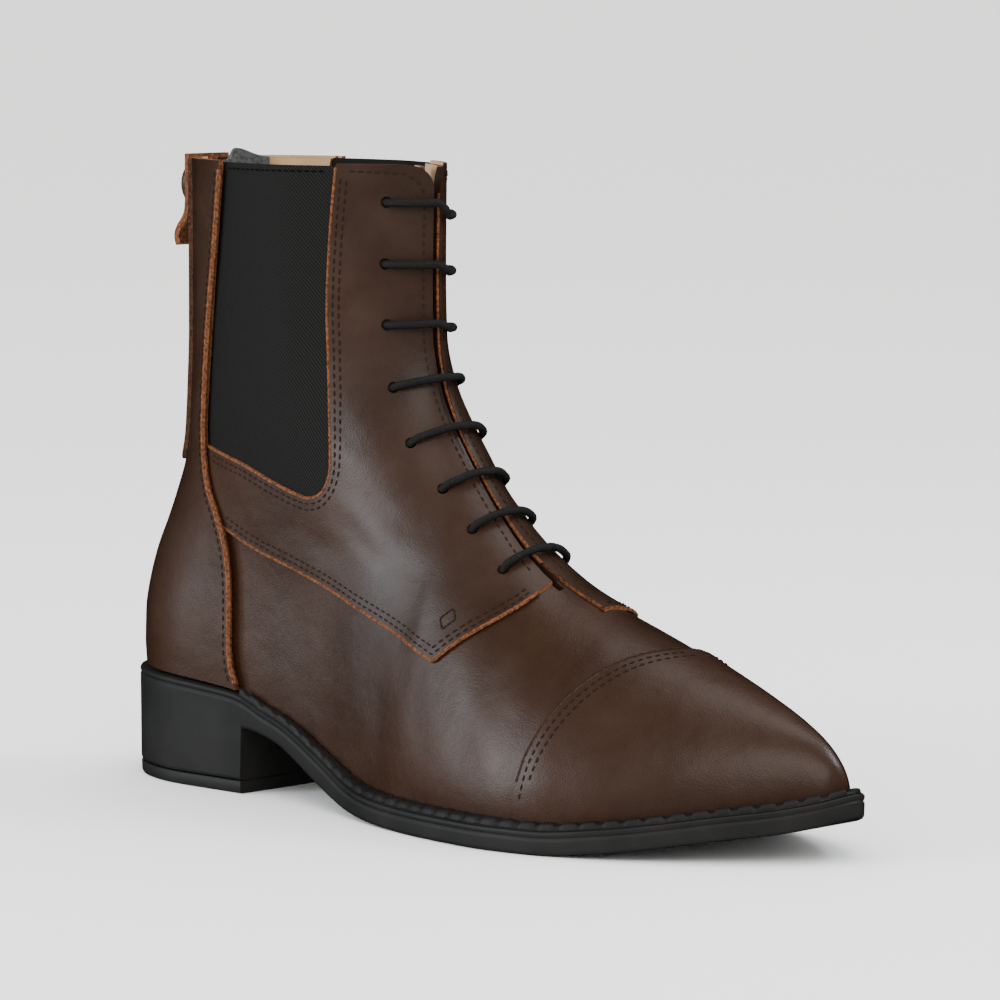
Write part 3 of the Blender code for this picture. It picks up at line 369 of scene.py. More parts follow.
def shell_grid(skin_of, height, low=0.0, high=1.0, rows=ROWS):
    grid, normal, push = skin_of
    moved = grid + normal * (push + height)[:, :, None]
    moved[-1, :, 2] = grid[-1, :, 2]
    place = np.linspace(low, high, rows + 1) * (len(grid) - 1)
    i = np.minimum(place.astype(int), len(grid) - 2)
    part = (place - i)[:, None, None]
    return moved[i] * (1 - part) + moved[i + 1] * part


def mesh_object(name, points, faces, materials=None, slots=None):
    mesh = bpy.data.meshes.new(name)
    mesh.from_pydata(np.asarray(points, float).tolist(), [], faces)
    obj = bpy.data.objects.new(name, mesh)
    bpy.context.scene.collection.objects.link(obj)
    for material in materials or ():
        mesh.materials.append(material)
    if slots is not None:
        mesh.polygons.foreach_set("material_index", np.asarray(slots, np.int32))
    body = bmesh.new()
    body.from_mesh(mesh)
    bmesh.ops.recalc_face_normals(body, faces=body.faces)
    if body.calc_volume(signed=True) < 0:
        bmesh.ops.reverse_faces(body, faces=body.faces)
    body.to_mesh(mesh)
    body.free()
    return obj


def side_faces(rings, sides, start=0):
    """Faces round a row of rings of points."""
    around = [(start + k, start + (k + 1) % sides) for k in range(sides)]
    rises = range(0, (rings - 1) * sides, sides)
    return [(a + up, b + up, b + up + sides, a + up + sides) for up in rises for a, b in around]


def tube_faces(rings, sides, start=0):
    """The same, closed at both ends."""
    last = start + (rings - 1) * sides
    caps = [tuple(range(start, start + sides))[::-1], tuple(range(last, last + sides))]
    return caps + side_faces(rings, sides, start)


def sweep(path, radii, across, start=0):
    """Points and faces of a round body along a path, with a row of radii for each point of the path."""
    turn = 2 * np.pi * np.arange(radii.shape[1])[:, None] / radii.shape[1]
    tangent = unit(np.gradient(path, axis=0))
    frame = np.cross(tangent[0], across)
    points = []
    for here, along, radius in zip(path, tangent, radii):
        frame = unit(frame - along * np.dot(frame, along))
        other = np.cross(along, frame)
        points.append(here + radius[:, None] * (np.cos(turn) * frame + np.sin(turn) * other))
    return np.concatenate(points), tube_faces(len(path), radii.shape[1], start)


def slab(name, outer, inner, closed, materials):
    """A sheet between two grids of points, its columns closed in a ring or open."""
    rows, columns = outer.shape[:2]
    count = rows * columns
    last = columns if closed else columns - 1
    faces, slots = [], []
    for r in range(rows - 1):
        for c in range(last):
            a, b = r * columns + c, r * columns + (c + 1) % columns
            faces.append((a, b, b + columns, a + columns))
            faces.append((count + a, count + a + columns, count + b + columns, count + b))
            slots += [OUTER, INNER]
    for c in range(last):
        a, b = c, (c + 1) % columns
        top = (rows - 1) * columns
        faces.append((a, count + a, count + b, b))
        faces.append((top + a, top + b, count + top + b, count + top + a))
        slots += [CUT, CUT]
    if not closed:
        for r in range(rows - 1):
            a, b = r * columns, (r + 1) * columns
            faces.append((a, b, count + b, count + a))
            a, b = a + columns - 1, b + columns - 1
            faces.append((a, count + a, count + b, b))
            slots += [CUT, CUT]
    points = np.concatenate([outer.reshape(-1, 3), inner.reshape(-1, 3)])
    return mesh_object(name, points, faces, materials, slots)


def prism(name, outline, near, far, axis, materials):
    """A closed outline in the plane across an axis, drawn out along it from near to far."""
    outline = np.asarray(outline, float)
    count = len(outline)
    points = []
    for end in (near, far):
        points.append(np.insert(outline, axis, 0, axis=1))
        points[-1][:, axis] = np.broadcast_to(np.asarray(end, float), (count,))
    faces = [tuple(range(count)), tuple(range(2 * count - 1, count - 1, -1))]
    faces += [(i, (i + 1) % count, count + (i + 1) % count, count + i) for i in range(count)]
    return mesh_object(name, np.concatenate(points), faces, materials, [CUT] * len(faces))


def combine(obj, other, operation):
    modifier = obj.modifiers.new(operation, "BOOLEAN")
    modifier.operation = operation
    modifier.object = other
    modifier.solver = "MANIFOLD"
    graph = bpy.context.evaluated_depsgraph_get()
    mesh = bpy.data.meshes.new_from_object(obj.evaluated_get(graph))
    obj.modifiers.clear()
    obj.data = mesh
    bpy.data.objects.remove(other, do_unlink=True)
    return obj


def side_outline(table):
    return [(along * SOLE_LENGTH, height * BOOT_HEIGHT) for along, height in table]


def rounded(outline, times=2):
    """An open line with its corners cut again and again, so that it runs smoothly."""
    points = np.asarray(outline, float)
    for _ in range(times):
        near, far = 0.75 * points[:-1] + 0.25 * points[1:], 0.25 * points[:-1] + 0.75 * points[1:]
        points = np.concatenate([points[:1], np.stack([near, far], axis=1).reshape(-1, 2), points[-1:]])
    return points


def offset_line(points, by):
    """An open line in side view moved to its left by a distance."""
    points = np.asarray(points, float)
    along = unit(np.gradient(points, axis=0))
    return points + by * np.stack([-along[:, 1], along[:, 0]], axis=1)


def slit_aside(z):
    return SOLE_WIDTH * curve(SLIT_LINE, 1, z / BOOT_HEIGHT)


def gore_cutter(side, by, materials):
    outline = rounded(side_outline(GORE))
    outline = offset_line(outline, by)
    return prism("gore_cutter", outline, side * 0.002, side * 0.09, 1, materials)


def lower_edge(side, last=None):
    """Lower edge of one quarter, from the heel counter to the slit."""
    table = QUARTER_LATERAL if side < 0 else QUARTER_MEDIAL
    return rounded(side_outline([QUARTER_START, *table[1:last]]), 1)


def quarter_region(side, materials):
    top, back, base = 1.1 * BOOT_HEIGHT, -0.03, -0.01
    under_stay = side_outline([(along - 0.006, height) for along, height in reversed(STAY) if height < 0.40])
    outline = np.concatenate([
        [(back, base), (under_stay[0][0], base)], under_stay, lower_edge(side),
        [(0.72 * SOLE_LENGTH, 0.46 * BOOT_HEIGHT), (0.60 * SOLE_LENGTH, top), (back, top)],
    ])
    aside = slit_aside(outline[:, 1]) * smooth(0.40, 0.50, outline[:, 0] / SOLE_LENGTH)
    return prism("quarter_region", outline, aside - side * 0.0008, side * 0.09, 1, materials)


def slit_cutter(materials):
    z = np.concatenate([np.linspace(SLIT_LOW, 0.94, 60), np.linspace(0.944, 1.0, 16), [1.06]]) * BOOT_HEIGHT
    down = np.clip((z - (BOOT_HEIGHT - CORNER)) / CORNER, 0, 1)
    wide = SLIT / 2 + CORNER * (1 - np.sqrt(1 - down**2))
    x, aside = front_at(z), slit_aside(z)
    slope = np.gradient(x, z)
    normal = unit(np.stack([np.ones_like(slope), -slope], axis=1))
    points = []
    for i in range(len(z)):
        for reach, sign in ((0.008, -1), (0.008, 1), (-0.012, 1), (-0.012, -1)):
            place = (x[i] + reach * normal[i, 0], aside[i] + sign * wide[i], z[i] + reach * normal[i, 1])
            points.append(place)
    faces = tube_faces(len(z), 4)
    return mesh_object("slit_cutter", points, faces, materials, [TURNED] * len(faces))


def skin(x, z, side, height):
    """A point at a height over the vamp's surface, from its place in side view, and the normal there."""
    x, z = np.atleast_1d(np.asarray(x, float)), np.atleast_1d(np.asarray(z, float))
    step = 2e-4
    out = breadth(x, z, side)
    dx = (breadth(x + step, z, side) - breadth(x - step, z, side)) / (2 * step)
    dz = (breadth(x, z + step, side) - breadth(x, z - step, side)) / (2 * step)
    normal = unit(np.stack([-dx, np.full_like(dx, side), -dz], axis=1))
    point = np.stack([x, ridge_aside(x) + side * out, z], axis=1)
    return point + normal * (base_offset(x) + relief(x, z, side) + height)[:, None], normal


def eye_places(side):
    """Lace holes of one side in side view, from the top."""
    return side_outline([(along, height - (drop if side > 0 else 0)) for along, height, drop in EYES])


def rod(name, start, end, radius, materials, sides=20):
    points, faces = sweep(np.array([start, end]), np.full((2, sides), radius), (0, 0, 1.0))
    return mesh_object(name, points, faces, materials, [CUT] * len(faces))


def zip_cutter(width, low, materials):
    top = 1.1 * BOOT_HEIGHT
    outline = [(-width / 2, low), (width / 2, low), (width / 2, top), (-width / 2, top)]
    return prism("zip_cutter", outline, -0.03, 0.045, 0, materials)


def make_vamp(base, materials):
    vamp = slab("vamp", shell_grid(base, 0, 0, 0.996), shell_grid(base, -WALL, 0, 0.996), True, materials)
    combine(vamp, slit_cutter(materials), "DIFFERENCE")
    for side in (-1, 1):
        combine(vamp, gore_cutter(side, 0, materials), "DIFFERENCE")
    return combine(vamp, zip_cutter(ZIP_SLOT, ZIP_LOW * BOOT_HEIGHT, materials), "DIFFERENCE")


def make_quarter(base, side, materials):
    name = "quarter_lateral" if side < 0 else "quarter_medial"
    outer, inner = shell_grid(base, QUARTER, 0.012, 1), shell_grid(base, 0.00004, 0.012, 1)
    quarter = slab(name, outer, inner, True, materials)
    combine(quarter, quarter_region(side, materials), "INTERSECT")
    combine(quarter, slit_cutter(materials), "DIFFERENCE")
    combine(quarter, gore_cutter(side, 0, materials), "DIFFERENCE")
    for x, z in eye_places(side):
        point, normal = skin(x, z, side, 0)
        hole = rod("hole", point[0] - 0.004 * normal[0], point[0] + 0.004 * normal[0], HOLE_RADIUS, materials)
        combine(quarter, hole, "DIFFERENCE")
    return combine(quarter, zip_cutter(ZIP_SLOT, ZIP_LOW * BOOT_HEIGHT, materials), "DIFFERENCE")


def make_gore(base, side, materials):
    name = "elastic_lateral" if side < 0 else "elastic_medial"
    outer = shell_grid(base, 0.0007, 0.3, 0.997)
    inner = shell_grid(base, 0.0007 - GORE_THICKNESS, 0.3, 0.997)
    gore = slab(name, outer, inner, True, materials)
    return combine(gore, gore_cutter(side, 0.0001, materials), "INTERSECT")


def make_backstay(base, materials):
    low = QUARTER + 0.00005
    outer = shell_grid(base, QUARTER + GAP + STAY_THICKNESS, 0.004, 1)
    stay = slab("heel_counter", outer, shell_grid(base, low, 0.004, 1), True, materials)
    outline = np.concatenate([rounded(side_outline(STAY), 1),
                              [(-0.03, 0.04 * BOOT_HEIGHT), (-0.03, 1.035 * BOOT_HEIGHT)]])
    combine(stay, prism("stay_region", outline, -0.09, 0.09, 1, materials), "INTERSECT")
    return combine(stay, zip_cutter(ZIP_SLOT, ZIP_LOW * BOOT_HEIGHT, materials), "DIFFERENCE")


def make_toe_cap(base, materials):
    outer = shell_grid(base, GAP + CAP_THICKNESS, 0.004, 0.5, 90)
    cap = slab("cap", outer, shell_grid(base, 0.00004, 0.004, 0.5, 90), True, materials)
    edge = rounded([(along * SOLE_LENGTH, aside * SOLE_WIDTH) for aside, along in CAP_LINE])
    ahead = 1.1 * SOLE_LENGTH
    outline = np.concatenate([edge, [(ahead, 0.52 * SOLE_WIDTH), (ahead, -0.64 * SOLE_WIDTH)]])
    return combine(cap, prism("cap_region", outline, 0, BOOT_HEIGHT, 2, materials), "INTERSECT")


def level_ring(lift, margin, columns):
    """The foot's outline at a height over the sole's seat, moved out by a margin in plan."""
    points = ring(0.0, columns, lift)
    x = SOLE_LENGTH * (REAR + (TIP - REAR) * stations(columns))
    points[:, 0] = np.concatenate([x, x[1:-1][::-1]])
    along = np.roll(points, -1, axis=0) - np.roll(points, 1, axis=0)
    out = unit(np.stack([along[:, 1], -along[:, 0]], axis=1))
    points[:, :2] += out * np.broadcast_to(margin, (len(points),))[:, None]
    points[:, 2] = seat_at(points[:, 0]) + lift
    return points


def sole_outline(extra, columns=110):
    plain = level_ring(0, 0, columns)
    return level_ring(0, curve(MARGIN, 1, plain[:, 0] / SOLE_LENGTH) + extra, columns)


def stack_rings(name, rings, materials):
    """Rings of points one over another, closed side to side at both ends."""
    count = len(rings[0])
    half = count // 2
    faces = side_faces(len(rings), count)
    for start, turned in ((0, False), ((len(rings) - 1) * count, True)):
        for i in range(half):
            face = (start + i, start + i + 1, start + (count - i - 1) % count, start + (count - i) % count)
            face = tuple(dict.fromkeys(face))
            if len(face) > 2:
                faces.append(face[::-1] if turned else face)
    return mesh_object(name, np.concatenate(rings), faces, materials)


def split_at_breast(points):
    half = len(points) // 2
    near = int(np.argmin(np.abs(points[: half + 1, 0] - HEEL_LENGTH)))
    order = list(range(len(points)))
    other = len(points) - near
    points = points[order[: near + 1] + order[near : other + 1] + order[other:]]
    for i, x in ((near, -0.0003), (near + 1, 0.0003), (other + 1, 0.0003), (other + 2, -0.0003)):
        points[i, 0] = HEEL_LENGTH + x
    return points, near


def make_outsole(materials):
    rings = []
    profile = (  # out, level, lift: the edge's section, from the tread to the seat
        (-0.0016, "under", 0.0000), (-0.0005, "under", 0.0002), (-0.0001, "under", 0.0007),
        (0.0000, "under", 0.0014), (0.0001, "seat", -0.0032), (0.0001, "seat", -0.0027),
        (-0.0001, "seat", -0.0024), (-0.0003, "seat", -0.0020), (-0.0001, "seat", -0.0017),
        (0.0001, "seat", -0.0012), (0.0001, "seat", -0.0006), (-0.0002, "seat", -0.0002),
        (-0.0008, "seat", 0.0),
    )
    for extra, place, add in profile:
        points, near = split_at_breast(sole_outline(extra))
        x = points[:, 0]
        other = len(points) - near
        heel = (np.arange(len(points)) <= near) | (np.arange(len(points)) >= other)
        low = np.where(heel, TOP_PIECE + 0.0002, under_at(np.maximum(x, HEEL_LENGTH)))
        points[:, 2] = (low if place == "under" else seat_at(x)) + add
        rings.append(points)
    return stack_rings("sole", rings, materials)


def make_top_piece(materials):
    rings = []
    for extra, z in (
        (-0.0012, 0.0), (-0.0005, 0.0002), (-0.0002, 0.0008), (-0.0001, TOP_PIECE - 0.0006),
        (-0.0004, TOP_PIECE - 0.0001), (-0.0010, TOP_PIECE),
    ):
        points, near = split_at_breast(sole_outline(extra))
        points = np.concatenate([points[len(points) - near :], points[: near + 1]])
        points[:, 2] = z
        rings.append(points)
    return mesh_object("heel_tread", np.concatenate(rings), tube_faces(len(rings), len(rings[0])), materials)


def make_rand(materials):
    """Notched strip round the forepart, from one side of the heel's breast to the other."""
    columns = 460
    outline = level_ring(0, 0, columns)
    keep = np.where(outline[:, 0] > HEEL_LENGTH - 0.001)[0]
    margin = curve(MARGIN, 1, outline[:, 0] / SOLE_LENGTH)
    out = level_ring(0, margin, columns)[:, :2]
    low = outline[:, :2]
    phase = np.abs((lengths(low[keep]) / NOTCH_PITCH) % 1 - 0.5) * NOTCH_PITCH
    notch = 1 - smooth(0.5 * NOTCH_GAP, 0.5 * NOTCH_GAP + 0.0005, phase)
    wall = ring(0.0, columns, WELT_HEIGHT)[:, :2]
    swell = np.maximum(np.sum((wall - low) * (out - low), axis=1), 0) / np.maximum(margin, 1e-6) ** 2
    inner = low + (out - low) * (np.minimum(swell, 0.35) - 0.12)[:, None]
    sections = []
    profile = (  # share, lift, fall at a notch, step back at a notch
        (0.0, 0.0001, 0.0, 0.0), (0.0, 1.0, 0.3, 0.0), (0.25, 1.02, 0.8, 0.0), (0.5, 1.0, 1.0, 0.0),
        (0.66, 0.9, 1.0, 0.03), (0.74, 0.7, 0.8, 0.06), (0.78, 0.35, 0.2, 0.06), (0.80, 0.14, 0.0, 0.0),
        (0.90, 0.10, 0.0, 0.0), (0.95, 0.0, 0.0, 0.0),
    )
    for share, lift, fall, back in profile:
        place = inner[keep] + (out - inner)[keep] * (share - back * notch)[:, None]
        rise = np.maximum(lift - 0.36 * fall * notch, 0.02) * WELT_HEIGHT
        sections.append(np.column_stack([place, seat_at(place[:, 0]) + rise]))
    grid = np.array(sections)
    rows, count = grid.shape[:2]
    return mesh_object("rand", grid.transpose(1, 0, 2).reshape(-1, 3), tube_faces(count, rows), materials)


def make_insole(materials):
    columns = 60
    plain = level_ring(0, 0, columns)
    wall = base_offset(plain[:, 0]) - WALL - 0.0002
    steps = ((-0.0004, GAP), (0.0, GAP + 0.4 * INSOLE_THICKNESS), (-0.0006, GAP + INSOLE_THICKNESS))
    return stack_rings("sock", [level_ring(lift, wall + extra, columns) for extra, lift in steps], materials)


def make_tongue(base, materials):
    under = WALL + 2 * LACE_RADIUS + 9 * GAP
    reach = 40
    strip = shell_grid(base, 0, 0.44, 0.995, 60)[:, COLUMNS - reach : COLUMNS + reach + 1]
    middle = strip[:, reach]
    along = np.gradient(middle, axis=0)
    ahead = unit(np.stack([along[:, 2], 0 * along[:, 0], -along[:, 0]], axis=1))
    half = np.abs(strip[:, -1, 1] - strip[:, 0, 1]) / 2
    grids = []
    for depth in (under, under + TONGUE_THICKNESS):
        share = (1 - depth / half)[:, None, None]
        grids.append((middle - depth * ahead)[:, None] + (strip - middle[:, None]) * share)
    return slab("tongue_leather", *grids, False, materials)


def lace_path():
    """The lace's middle line: a bar over each pair of holes, joined behind them in turn on each side."""
    eyes = {side: list(reversed(eye_places(side))) for side in (-1, 1)}
    ridge_z = np.linspace(SLIT_LOW, 1.0, 600) * BOOT_HEIGHT
    ridge_x = front_at(ridge_z)
    over = QUARTER + LACE_RADIUS + 0.0001
    behind = -(WALL + LACE_RADIUS + 2 * GAP)
    path = []
    for row in range(len(EYES)):
        half = []
        for side in (-1, 1):
            x, z = eyes[side][row]
            k = int(np.argmin((ridge_x - x) ** 2 + (ridge_z - z) ** 2))
            crown = np.array([ridge_x[k], ridge_z[k]])
            hole = [skin(x, z, side, h)[0][0] for h in (behind, -0.5 * WALL, 0.6 * QUARTER)]
            part = 1 - (1 - np.array([0.11, 0.30, 0.56, 0.82])) ** 2
            side_x, side_z = x + (crown[0] - x) * part, z + (crown[1] - z) * part
            rise = np.array([0.1, 0.5, 0.9, 1.0]) * 0.001
            half.append((hole, skin(side_x, side_z, side, over + rise)[0]))
        start, end = (half[0], half[1]) if row % 2 == 0 else (half[1], half[0])
        middle = (start[1][-1] + end[1][-1]) / 2
        middle[0] += 0.0007
        path += [*start[0], *start[1], middle, *end[1][::-1], *end[0][::-1]]
        if row + 1 < len(EYES):
            side = 1 if row % 2 == 0 else -1
            for part in (0.2, 0.8):
                x2, z2 = np.array(eyes[side][row]) * (1 - part) + np.array(eyes[side][row + 1]) * part
                path.append(skin(x2, z2, side, behind - 0.0003)[0][0])
    return np.array(path)


def even(points, spacing):
    """A line through the points, smooth, in steps of one length."""
    points = np.asarray(points, float)
    ends = np.concatenate([2 * points[:1] - points[1:2], points, 2 * points[-1:] - points[-2:-1]])
    t = np.linspace(0, 1, 12, endpoint=False)[:, None]
    rows = []
    for a, b, c, d in zip(ends[:-3], ends[1:-2], ends[2:-1], ends[3:]):
        square, cube = 2 * a - 5 * b + 4 * c - d, 3 * b - a - 3 * c + d
        rows.append(0.5 * (2 * b + (c - a) * t + square * t**2 + cube * t**3))
    fine = np.concatenate([*rows, points[-1:]])
    length = lengths(fine)
    return points_at(np.linspace(0, length[-1], max(int(length[-1] / spacing), 1) + 1), length, fine)


def make_cord(name, path, radius, materials):
    """A braided cord: its section is round, with crossing strands as a fine relief."""
    path = even(path, CORD_STEP)
    turn = 2 * np.pi * np.arange(CORD_SIDES) / CORD_SIDES
    strand = 2 * np.pi * np.arange(len(path))[:, None] * CORD_STEP / BRAID_PITCH
    weave = np.abs(np.sin(2 * turn + strand)) + np.abs(np.sin(2 * turn - strand))
    return mesh_object(name, *sweep(path, radius * (0.93 + 0.07 * weave), (1.0, 0, 0)), materials)


def back_sheet(name, half_width, low, high, inner, outer, materials, across=25, rows=90):
    """A sheet that lies on the back of the boot at two heights over the vamp's surface."""
    z = np.linspace(low, high, rows)
    aside = np.linspace(-half_width, half_width, across)
    step = np.linspace(0, 0.045, 300)
    grids = []
    for height in (outer, inner):
        grid = np.zeros((rows, across, 3))
        for r, here in enumerate(z):
            back = back_at(np.array([here]))[0]
            reach = [breadth(back + step, np.full_like(step, here), side) for side in (-1, 1)]
            for c, y in enumerate(aside):
                depth = np.interp(abs(y), reach[0 if y < 0 else 1], step)
                slope = np.interp(abs(y) + 0.0005, reach[0 if y < 0 else 1], step) - depth
                normal = unit(np.array([-0.0005, np.sign(y) * slope]))
                offset = base_offset(np.array([back]))[0] + height
                grid[r, c] = (back + depth + normal[0] * offset, y + normal[1] * offset, here)
        grids.append(grid)
    return slab(name, grids[0], grids[1], False, materials)


def make_zip(materials):
    low, high = ZIP_LOW * BOOT_HEIGHT + GAP, BOOT_HEIGHT - 0.002
    return back_sheet("zip_tape", ZIP_SLOT / 2 - 0.0002, low, high, QUARTER - ZIP_TAPE, QUARTER, materials, 9)


def make_teeth(materials):
    """The coil's turns, one by one down the middle of the tape."""
    points, faces = [], []
    low, high = ZIP_LOW * BOOT_HEIGHT + 0.002, BOOT_HEIGHT - 0.012
    for number, z in enumerate(np.arange(low, high, 0.0012)):
        back = back_at(np.array([z]))[0] - base_offset(np.array([0.0]))[0] - QUARTER
        shift = 0.0004 if number % 2 else -0.0004
        start = len(points)
        for x in (back + 0.0003, back - 0.0012):
            for y, up in ((-0.0019, -0.0004), (0.0019, -0.0004), (0.0019, 0.0004), (-0.0019, 0.0004)):
                points.append((x, y + shift, z + up))
        for face in ((0, 1, 2, 3), (7, 6, 5, 4), (0, 4, 5, 1), (1, 5, 6, 2), (2, 6, 7, 3), (3, 7, 4, 0)):
            faces.append(tuple(start + k for k in face))
    return mesh_object("zip_teeth", points, faces, materials)


def make_zip_facing(materials):
    low = QUARTER + GAP + STAY_THICKNESS + 0.0001
    top, bottom = BOOT_HEIGHT - 0.0006, ZIP_LOW * BOOT_HEIGHT - 0.0075
    wide = FACING_REACH + 0.0015
    sheet = back_sheet("zip_strips", wide, bottom - 0.002, top, low, low + ZIP_FACING + GAP, materials, 45)
    turn = np.linspace(0, np.pi / 2, 12)
    round_off = [(1 - np.cos(a), 1 - np.sin(a)) for a in turn]
    bend = [(FACING_REACH - FACING_CORNER * y, bottom + FACING_CORNER * z) for y, z in round_off]
    outline = [(FACING_REACH, 1.1 * BOOT_HEIGHT), *bend, *[(-y, z) for y, z in reversed(bend)],
               (-FACING_REACH, 1.1 * BOOT_HEIGHT)]
    combine(sheet, prism("facing_region", outline, -0.03, 0.045, 0, materials), "INTERSECT")
    return combine(sheet, zip_cutter(FACING_SLOT, ZIP_LOW * BOOT_HEIGHT + 0.001, materials), "DIFFERENCE")


def make_snap_tab(materials):
    back, h = back_at(np.array([BOOT_HEIGHT]))[0], BOOT_HEIGHT
    line = rounded([
        (back - 0.0029, h + 0.0008), (back - 0.0029, h - 0.009), (back - 0.0030, h - 0.0170),
        (back - 0.0046, h - 0.0201), (back - 0.0070, h - 0.0225), (back - 0.0083, h - 0.0252),
        (back - 0.0074, h - 0.0280),
    ], 3)
    widths = TAB_WIDTH / 2 * np.linspace(-1, 1, 13)
    grids = []
    for shift in (-TAB_THICKNESS / 2, TAB_THICKNESS / 2):
        grids.append(np.array([[(x, y, z) for y in widths] for x, z in offset_line(line, shift)]))
    return slab("tab", *grids, False, materials)


def make_snap_cap(materials):
    back, z = back_at(np.array([BOOT_HEIGHT]))[0], BOOT_HEIGHT - 0.0088
    start = back - 0.0030 - TAB_THICKNESS / 2
    sides = 48
    turn = 2 * np.pi * np.arange(sides) / sides
    rows = ((0.0, 0.9), (0.12, 0.97), (0.35, 1.0), (0.62, 0.95), (0.82, 0.78), (0.95, 0.5), (1.0, 0.2))
    points = []
    for out, share in rows:
        wide = CAP_RADIUS * share
        points += [(start - out * CAP_HEIGHT, wide * np.cos(a), z + wide * np.sin(a)) for a in turn]
    return mesh_object("snap", points, tube_faces(len(rows), sides), materials)


def make_guard(base, materials):
    """Felt flap behind the zip, a little higher than the collar."""
    low = WALL + GAP
    outer, inner = (shell_grid(base, -h, 0.62, 1.0, 50) for h in (low, low + GUARD_THICKNESS))
    columns = np.arange(-25, 26)
    grids = [grid[:, columns].copy() for grid in (outer, inner)]
    peak = smooth(1, 7, -columns) * (1 - 0.75 * smooth(8, 25, -columns))
    for grid in grids:
        rise = GUARD_RISE * peak - 0.0012 * (1 - peak)
        grid[:, :, 2] += rise * smooth(0.85, 1.0, grid[:, :, 2] / BOOT_HEIGHT)
    return slab("felt_flap", *grids, False, materials)


def bead(name, lines, radius, materials, sides=6):
    """Thin raised lips along cut edges, one uneven round strip for each line of points."""
    parts, faces, count = [], [], 0
    for line in lines:
        line = even(line, BEAD_STEP)
        number = np.arange(len(line))[:, None]
        wave = 1 + 0.16 * np.sin(1.9 * number) * np.sin(0.37 * number + 1)
        part, around = sweep(line, radius * np.tile(wave, (1, sides)), (0.3, 0.9, 0.2), count)
        parts.append(part)
        faces += around
        count += len(part)
    return mesh_object(name, np.concatenate(parts), faces, materials)


def dense(line, step=0.0008):
    """Places along and up of a line in side view, close together."""
    line = np.asarray(line, float)
    length = lengths(line)
    return points_at(np.linspace(0, length[-1], max(int(length[-1] / step), 2)), length, line).T


def below(line, share):
    """The part of a line in side view under a share of the boot's height."""
    x, z = dense(line)
    keep = z < share * BOOT_HEIGHT
    return np.column_stack([x[keep], z[keep]])


def stay_edge(share):
    """Front edge of the heel counter, from the sole's edge up to a share of the boot's height."""
    stay = below(rounded(side_outline(STAY), 1), share)
    return stay[stay[:, 1] > 0.17 * BOOT_HEIGHT]


def panel_lines(side):
    """Raw edges of one quarter: its lower edge, the elastic's opening and, on the inner side, the slit."""
    lines = [lower_edge(side, -1), below(rounded(side_outline(GORE)), 0.995)]
    lines = [skin(*dense(line), side, QUARTER - 0.00035)[0] for line in lines]
    if side > 0:
        z = np.linspace(0.40, 0.955, 200) * BOOT_HEIGHT
        front = front_at(z)
        lines.append(np.column_stack([front + base_offset(front) + GAP, slit_aside(z) + SLIT / 2, z]))
    return lines


def stay_lines(side):
    return [skin(*dense(stay_edge(0.99)), side, QUARTER + GAP + STAY_THICKNESS - 0.0005)[0]]


def seam(points, normals, pitch=STITCH_PITCH):
    """Places of the stitches along a line on the surface: middles, directions and normals."""
    length = lengths(points)
    at = np.arange(0.5 * pitch, length[-1], pitch)
    ahead, behind = (points_at(at + reach * pitch, length, points) for reach in (0.3, -0.3))
    return points_at(at, length, points), unit(ahead - behind), points_at(at, length, normals)


def side_seam(line, side, height, pitch=STITCH_PITCH):
    return seam(*skin(*dense(line), side, height), pitch)


def thread_mesh(name, rows, materials):
    """All stitches of some rows: short rounded bodies, a little sunk in the leather."""
    around, steps = 6, np.array([-1.0, -0.8, -0.35, 0.35, 0.8, 1.0])
    size = np.array([0.25, 0.75, 1.0, 1.0, 0.75, 0.25])
    turn = 2 * np.pi * np.arange(around)[:, None] / around
    points, faces = [], []
    for middles, alongs, normals in rows:
        for here, along, normal in zip(middles, alongs, normals):
            normal = unit(normal - along * np.dot(normal, along))
            section = STITCH_RADIUS * (np.cos(turn) * normal + np.sin(turn) * np.cross(along, normal))
            faces += tube_faces(len(steps), around, len(points) * around)
            for step, wide in zip(steps, size):
                centre = here + along * step * STITCH_LENGTH / 2 - normal * STITCH_SINK * abs(step) ** 2
                points.append(centre + wide * section)
    return mesh_object(name, np.concatenate(points), faces, materials)


def cap_lines(shift):
    """The toe cap's edge moved inwards, in side view, for each side: heights come from the surface."""
    edge = rounded([(along * SOLE_LENGTH, aside * SOLE_WIDTH) for aside, along in CAP_LINE])
    line = offset_line(edge, -shift)
    sides = []
    for side in (-1, 1):
        part = line[(line[:, 1] - ridge_aside(line[:, 0])) * side > 0.0004]
        part = part[np.argsort(part[:, 1] * side)]
        points = []
        for x, y in part:
            z = np.linspace(seat_at(x) + 0.001, ridge_at(x), 200)
            falling = breadth(np.full_like(z, x), z, side)[::-1]
            wanted = abs(y - ridge_aside(x))
            if wanted < falling[-1]:
                points.append((x, np.interp(wanted, np.maximum.accumulate(falling), z[::-1])))
        sides.append((side, points))
    return sides


def cap_rows():
    height = GAP + CAP_THICKNESS + 0.0001
    lines = cap_lines(ROW_NEAR) + cap_lines(ROW_FAR)
    return [side_seam(points, side, height) for side, points in lines]


def cap_edge():
    """The cap's folded edge, one line over the toe from side to side."""
    halves = [skin(*dense(points), side, GAP + 0.6 * CAP_THICKNESS)[0] for side, points in cap_lines(0.0)]
    return [np.concatenate([halves[0][::-1], halves[1]])]


